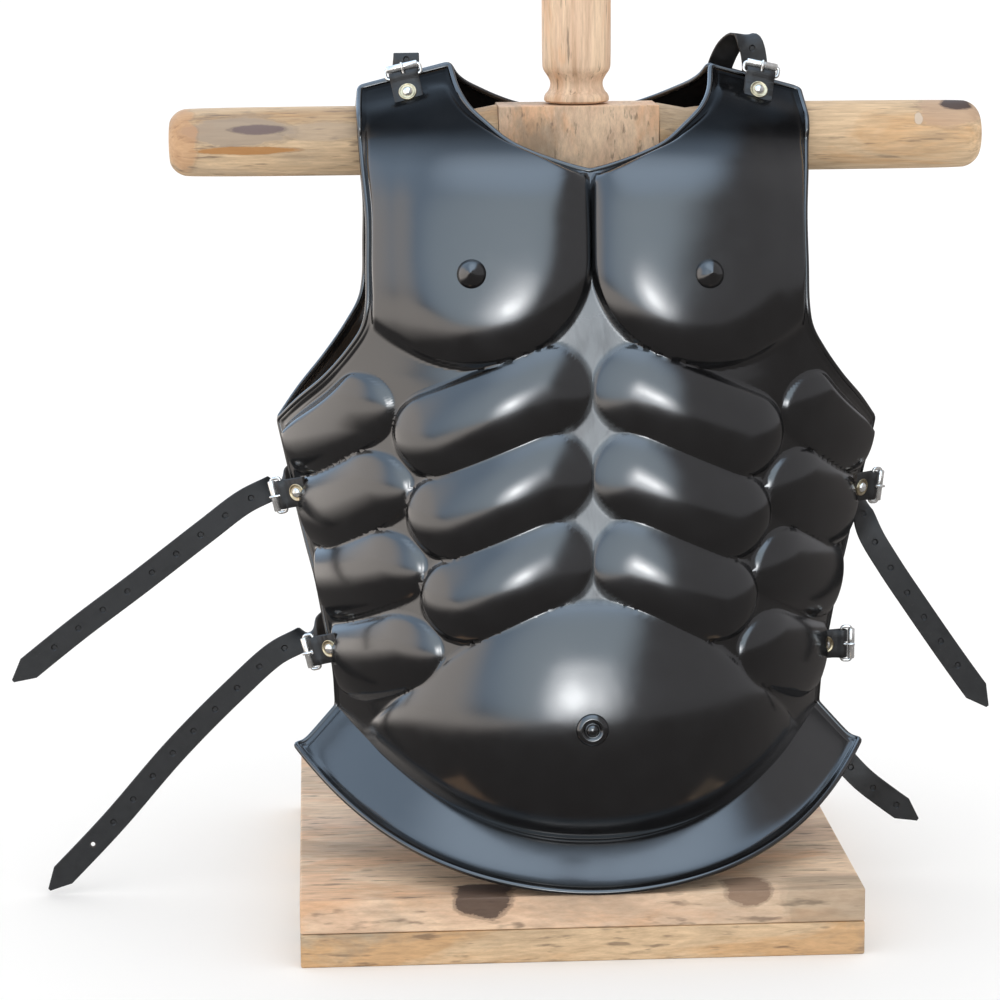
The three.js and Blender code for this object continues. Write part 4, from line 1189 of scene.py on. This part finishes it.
def wire_frame():
    long = np.hypot(*(ROLLER - PIVOT))
    half, r = BUCKLE_W / 2 - WIRE_R, 2.2
    flat = np.vstack([arc((long - r, half - r), r, 90, 0, 6), arc((long - r, -half + r), r, 0, -90, 6),
                      arc((r - 0.6, -half + r), r, -90, -180, 6), arc((r - 0.6, half - r), r, 180, 90, 6)])
    way = (ROLLER - PIVOT) / long
    return np.stack([PIVOT[0] + flat[:, 0] * way[0], flat[:, 1], PIVOT[1] + flat[:, 0] * way[1]],
                    axis=-1)


def tongue_path():
    eye = arc(PIVOT, 2.0, -150, 100, 14)
    return in_plane(resample(np.vstack([eye, [(14, 6.6), (16, 8.3), (18.2, 9.0), (19.6, 8.8)]]), 0.8))


def roller_shape():
    half = BUCKLE_W / 2 - 2 * WIRE_R - 0.3
    profile = [(1.3, -half), (2.2, -half), (2.6, -half + 0.5), (2.6, half - 0.5), (2.2, half), (1.3, half),
               (1.3, -half)]
    verts, faces = turned(profile, 24)
    across = [verts[:, 0] + ROLLER[0], verts[:, 2], verts[:, 1] + ROLLER[1]]
    return np.stack(across, axis=-1), faces


TAB_PATH, FRAME_LOOP, TONGUE = tab_path(), wire_frame(), tongue_path()
tab_length = lengths(TAB_PATH)[-1]
tab_middle = lengths(TAB_PATH)[np.argmax(TAB_PATH[:, 0])]
print("a tab is cut", round(float(tab_length), 1), "mm long")

# %% Six buckles
for label, spot in BUCKLES.items():
    origin, s, w, n = buckle_frame(*spot)
    place = lambda points: hang(aimed(points, origin, s, w, n))
    turn = lambda vectors: hang(aimed(vectors, origin, s, w, n)) - hang(origin)
    path = in_plane(TAB_PATH)
    way = np.gradient(TAB_PATH, axis=0)
    looks = turn(np.stack([way[:, 1], np.zeros(len(way)), -way[:, 0]], axis=-1))
    slot = (tab_middle - SLOT[0], tab_middle + SLOT[0], SLOT[1])
    pattern = leather_pattern(tab_length, TAB_W, TAB_T, slot=slot, gap=0.8)
    buckle = "buckle_" + label
    finish_piece(buckle + "_tab", lay(pattern, place(path), looks), [LEATHER, CUT_EDGE],
                 [buckle + "_chape"], 45)
    finish_piece(buckle + "_wire", rod(place(FRAME_LOOP), WIRE_R, 14, NICKEL, closed=True), NICKEL,
                 [buckle + "_frame"], 60)
    finish_piece(buckle + "_pin", rod(place(TONGUE), PIN_R, 12, NICKEL), NICKEL,
                 [buckle + "_tongue"], 60)
    verts, faces = roller_shape()
    roller = bpy.data.meshes.new(buckle + "_tube")
    roller.from_pydata((place(verts) * MM).tolist(), [], faces)
    finish_piece(buckle + "_tube", cleaned(roller), NICKEL, [buckle + "_roller"], 40)
    rivet = origin + s * RIVET_AT[0] + n * RIVET_AT[1]
    RIVETS.append((hang(rivet), hang(rivet + n) - hang(rivet), buckle + "_rivet"))


# %% [markdown]
# ## Rivets
# Twelve tubular rivets hold the leather. Each has a dished brass washer under a bright domed head. One
# turned shape of each is made, and a node tree sets a copy at every rivet, turned to stand off the leather.

# %% Rivet tree
def rivet_tree():
    tree = geometry_tree("rivet_at_points", [("Shape", "Object"), ("Finish", "Material")])
    given = tree.nodes.new("NodeGroupInput").outputs
    shape = add_node(tree, "GeometryNodeObjectInfo", Object=given["Shape"])
    stands = add_node(tree, "GeometryNodeInputNamedAttribute", {"data_type": "FLOAT_VECTOR"}, Name="stands")
    turned_to = add_node(tree, "FunctionNodeAlignRotationToVector", {"axis": "Z"}, Vector=stands.outputs[0])
    copies = add_node(tree, "GeometryNodeInstanceOnPoints", Points=given["Geometry"],
                      Instance=shape.outputs["Geometry"], Rotation=turned_to.outputs[0])
    real = add_node(tree, "GeometryNodeRealizeInstances", Geometry=copies.outputs[0])
    done = add_node(tree, "GeometryNodeSetMaterial", Geometry=real.outputs[0], Material=given["Finish"])
    tree.links.new(done.outputs[0], tree.nodes.new("NodeGroupOutput").inputs[0])
    return tree


# %% Rivet washers and heads
RIVET_SIDES = 28


def rivet_set(name, profile, material):
    """One turned shape, copied to every rivet's place."""
    verts, faces = turned(rounded(profile), RIVET_SIDES)
    mesh = bpy.data.meshes.new("rivet_shape")
    mesh.from_pydata((verts * MM).tolist(), [], faces + base_cap(RIVET_SIDES))
    shape = bpy.data.objects.new("rivet_shape", mesh)
    SCENE.collection.objects.link(shape)
    places, stands, nodes = zip(*RIVETS)
    out = grow(line_of(places, [("stands", stands)]), RIVET, shape=shape, finish=material)
    bpy.data.objects.remove(shape)
    finish_piece(name, out, material, nodes, 50)


RIVET = rivet_tree()
WASHER_PROFILE = [(6.5, -0.2), (6.5, 0.5), (6.1, 0.85), (5.5, 0.75), (5.0, 0.3), (2.4, 0.45), (0, 0.5)]
HEAD_PROFILE = [(3.7, 0.3), (3.7, 0.8), (3.3, 1.7), (2.2, 2.6), (1.0, 2.95), (0, 3.0)]
rivet_set("rivet_washers", WASHER_PROFILE, WASHER)
rivet_set("rivet_heads", HEAD_PROFILE, NICKEL)


# %% [markdown]
# ## The wooden stand
# The stand is a turned post on two glued boards, with a round crossbar let into a square block. Turned
# parts are profiles spun round their axis; boards are bevelled boxes. Each has its own grain direction.

# %% Stand sizes
BASE = {"width": 395, "depth": 405, "board": 24, "offset": -12.5}
POST_R = 25
BAR = {"r": 25, "half": 295.5, "block": 116, "z": 557.7}
JOINT = 0.3  # gap in place of glue
WOOD_SIDES = 96


def board(name, low, high, material, bevel, stands_for):
    """A box between two corners with its edges eased."""
    form = bmesh.new()
    bmesh.ops.create_cube(form, size=1)
    size = np.array(high, float) - low
    middle = (np.array(high, float) + low) / 2
    for v in form.verts:
        v.co = Vector((np.array(v.co) * size + middle) * MM)
    bmesh.ops.bevel(form, geom=form.edges[:], offset=bevel * MM, segments=4, profile=0.6, affect="EDGES")
    bmesh.ops.recalc_face_normals(form, faces=form.faces)
    mesh = bpy.data.meshes.new(name)
    form.to_mesh(mesh)
    form.free()
    finish_piece(name, mesh, material, [stands_for], 30)


def spun(name, profile, axis, material, stands_for, sign=1):
    """A turned piece of wood: upright, or lying along x to the side given by sign."""
    verts, faces = turned(profile, WOOD_SIDES)
    if axis == "x":
        verts = np.stack([verts[:, 2] * sign, verts[:, 0], verts[:, 1] * sign + BAR["z"]], axis=-1)
    piece(name, verts, faces, material, [stands_for], 35)


# %% Boards and block
base_left, base_right = (BASE["offset"] + way * BASE["width"] / 2 for way in (-1, 1))
base_back, thick = BASE["depth"] / 2, BASE["board"]
for name, low, material, bevel in (("base_lower_board", 0, LOWER, 1.6),
                                   ("base_upper_board", thick + JOINT, UPPER, 1.8)):
    board(name, (base_left, -base_back, low), (base_right, base_back, low + thick), material, bevel,
          "stand_" + name)
bar_r, bar_z, block_half = BAR["r"], BAR["z"], BAR["block"] / 2
board("crossbar_block", (-block_half, -bar_r, bar_z - bar_r), (block_half, bar_r, bar_z + bar_r), BLOCK,
      1.2, "stand_bar_block")

# %% Turned parts
start, end = block_half + JOINT, BAR["half"]
ARM = rounded([(0, start), (bar_r, start), (bar_r, end - 16), (bar_r - 2, end - 7), (bar_r - 8, end - 1),
               (bar_r - 15, end), (0, end)], 3)
ARM = np.vstack([[(0, start), (bar_r, start)], ARM[ARM[:, 1] > block_half + 20]])
spun("crossbar_arm_left", ARM, "x", ARM_L, "stand_bar_arm_left", -1)
spun("crossbar_arm_right", ARM, "x", ARM_R, "stand_bar_arm_right")
foot, head = 2 * thick + 2 * JOINT, bar_z - bar_r - JOINT
spun("post", [(0, foot), (POST_R, foot), (POST_R, head), (0, head)], "z", POST, "stand_post")
neck = bar_z + bar_r + JOINT
FINIAL = rounded([(0, neck), (23.6, neck), (23.6, neck + 6), (20.0, neck + 9.5), (18.6, neck + 15),
                  (21, neck + 20), (24.4, neck + 24.5), (25, neck + 30), (25, 681), (22.5, 688), (18, 690),
                  (0, 690)], 2)
spun("post_top", FINIAL, "z", POST, "stand_finial")


# %% [markdown]
# ## Light and camera
# Black gloss shows what stands round it, so the room is designed as much as the lamp: a slate sky above
# that pales towards the front, dark ground, a dark tree line on one side and a warm wall low on the other.
# A small bright sun gives the white sparks. The floor and the backdrop stay pale.

# %% Floor
def stage_floor():
    """A wide pale floor, which the gloss sees as darker ground."""
    mesh = bpy.data.meshes.new("floor")
    s = 40.0  # metres
    mesh.from_pydata([(-s, -s, 0), (s, -s, 0), (s, s, 0), (-s, s, 0)], [], [(0, 1, 2, 3)])
    obj = bpy.data.objects.new("floor", mesh)
    SCENE.collection.objects.link(obj)
    n = Nodes("pale_floor")
    ray = n.add("LightPath").outputs
    colour = n.mix((0.95, 0.95, 0.95), (0.14, 0.13, 0.125), ray["Is Glossy Ray"])
    where = n.add("SeparateXYZ", Vector=n.coords).outputs["X"]
    # painted reflection: far to the left the floor glows warm for glossy rays only, standing in for a sunlit
    # wall
    warm = n.maths("MULTIPLY", n.spread(where, -0.8, -1.5, 0.0, 1.7), ray["Is Glossy Ray"])
    mesh.materials.append(n.set(Base_Color=colour, Roughness=0.95, Specular_IOR_Level=0.0,
                                Emission_Color=(1.0, 0.93, 0.87), Emission_Strength=warm))


stage_floor()


# %% Sky
EVEN_WHITE = (1.15, 1.15, 1.15, 1)


def direction(azimuth, elevation):
    a, e = math.radians(azimuth), math.radians(elevation)
    return (math.sin(a) * math.cos(e), -math.cos(a) * math.cos(e), math.sin(e))


class Sky:
    """A world drawn by direction: soft patches of colour round given azimuths and elevations."""

    def __init__(self):
        world = bpy.data.worlds.new("yard_sky")
        SCENE.world = world
        world.use_nodes = True
        self.tree = world.node_tree
        self.way = self.tree.nodes.new("ShaderNodeTexCoord").outputs["Generated"]
        self.colour = (0, 0, 0, 1)

    def node(self, kind, settings=None, **inputs):
        return add_node(self.tree, "ShaderNode" + kind, settings, **inputs)

    def maths(self, operation, a, b=0.0):
        return self.node("Math", {"operation": operation}, _0=a, _1=b).outputs[0]

    def spread(self, value, low, high):
        node = self.node("MapRange", {"interpolation_type": "SMOOTHSTEP"}, Value=value)
        node.inputs["From Min"].default_value = low
        node.inputs["From Max"].default_value = high
        return node.outputs["Result"]

    def side(self, azimuth, elevation, low, high):
        """0 to 1 across a plane that faces a direction; low and high are sines of the height over it."""
        near = self.node("VectorMath", {"operation": "DOT_PRODUCT"}, _0=self.way,
                         _1=direction(azimuth, elevation))
        return self.spread(near.outputs["Value"], low, high)

    def patch(self, azimuth, elevation, inner, outer):
        """1 within inner degrees of a direction, 0 beyond outer degrees."""
        low, high = (math.cos(math.radians(a)) for a in (outer, inner))
        return self.side(azimuth, elevation, low, high)

    def paint(self, colour, mask):
        """Lays a colour over what is there, as far as the mask lets it."""
        over = self.node("Mix", {"data_type": "RGBA"}, _0=mask, _6=self.colour, _7=(*colour, 1))
        self.colour = over.outputs[2]

    def done(self):
        """Gloss sees the painted sky; all else is lit by an even white one."""
        shown = self.node("LightPath").outputs["Is Glossy Ray"]
        final = self.node("Mix", {"data_type": "RGBA"}, _0=shown, _6=EVEN_WHITE, _7=self.colour)
        self.tree.links.new(final.outputs[2], self.tree.nodes["Background"].inputs["Color"])


sky = Sky()
sky.paint((0.24, 0.235, 0.235), 1.0)
sky.paint((1.05, 1.38, 1.80), sky.side(0, 90, -0.10, 0.16))
sky.paint((1.9, 2.25, 2.55), sky.maths("MULTIPLY", sky.patch(8, 16, 8, 60), 0.95))
sky.paint((2.0, 2.5, 3.1), sky.patch(5, 70, 6, 34))
glow = sky.patch(0, 8, 1, 16)
sky.paint((6.6, 6.9, 7.2), sky.maths("MULTIPLY", glow, glow))
sky.paint((0.42, 0.415, 0.43), sky.side(96, -26, -0.10, 0.12))
sky.paint((2.0, 1.86, 1.76), sky.maths("MULTIPLY", sky.patch(-88, 8, 12, 42), 0.95))
sky.done()
print("sky painted")


# %% Sun and camera
# the camera's place in millimetres, its turns in degrees, and its lens
CAMERA = {"at": (-189.5, -2389.8, 744.3), "yaw": 3.155, "pitch": 10.734, "roll": -0.429, "lens": 118.2}


def sun_lamp(azimuth, elevation, power, softness):
    data = bpy.data.lights.new("sun", "SUN")
    data.energy = power
    data.angle = math.radians(softness)
    obj = bpy.data.objects.new("sun", data)
    obj.rotation_euler = (-Vector(direction(azimuth, elevation))).to_track_quat("-Z", "Y").to_euler()
    SCENE.collection.objects.link(obj)


def aim_camera():
    data = bpy.data.cameras.new("camera")
    data.lens = CAMERA["lens"]
    data.sensor_width = 36
    data.clip_end = 100
    yaw, pitch, roll = (math.radians(CAMERA[k]) for k in ("yaw", "pitch", "roll"))
    forward = Vector((math.sin(yaw) * math.cos(pitch), math.cos(yaw) * math.cos(pitch), -math.sin(pitch)))
    right = forward.cross(Vector((0, 0, 1))).normalized()
    up = right.cross(forward)
    r = math.cos(roll) * right + math.sin(roll) * up
    u = -math.sin(roll) * right + math.cos(roll) * up
    obj = bpy.data.objects.new("camera", data)
    frame_turn = Matrix((r, u, -forward)).transposed().to_4x4()
    obj.matrix_world = Matrix.Translation(Vector(CAMERA["at"]) * MM) @ frame_turn
    SCENE.collection.objects.link(obj)
    SCENE.camera = obj


SCENE.view_settings.view_transform = "Standard"
sun_lamp(0, 9, 0.12, 8)
aim_camera()
print("light and camera set")
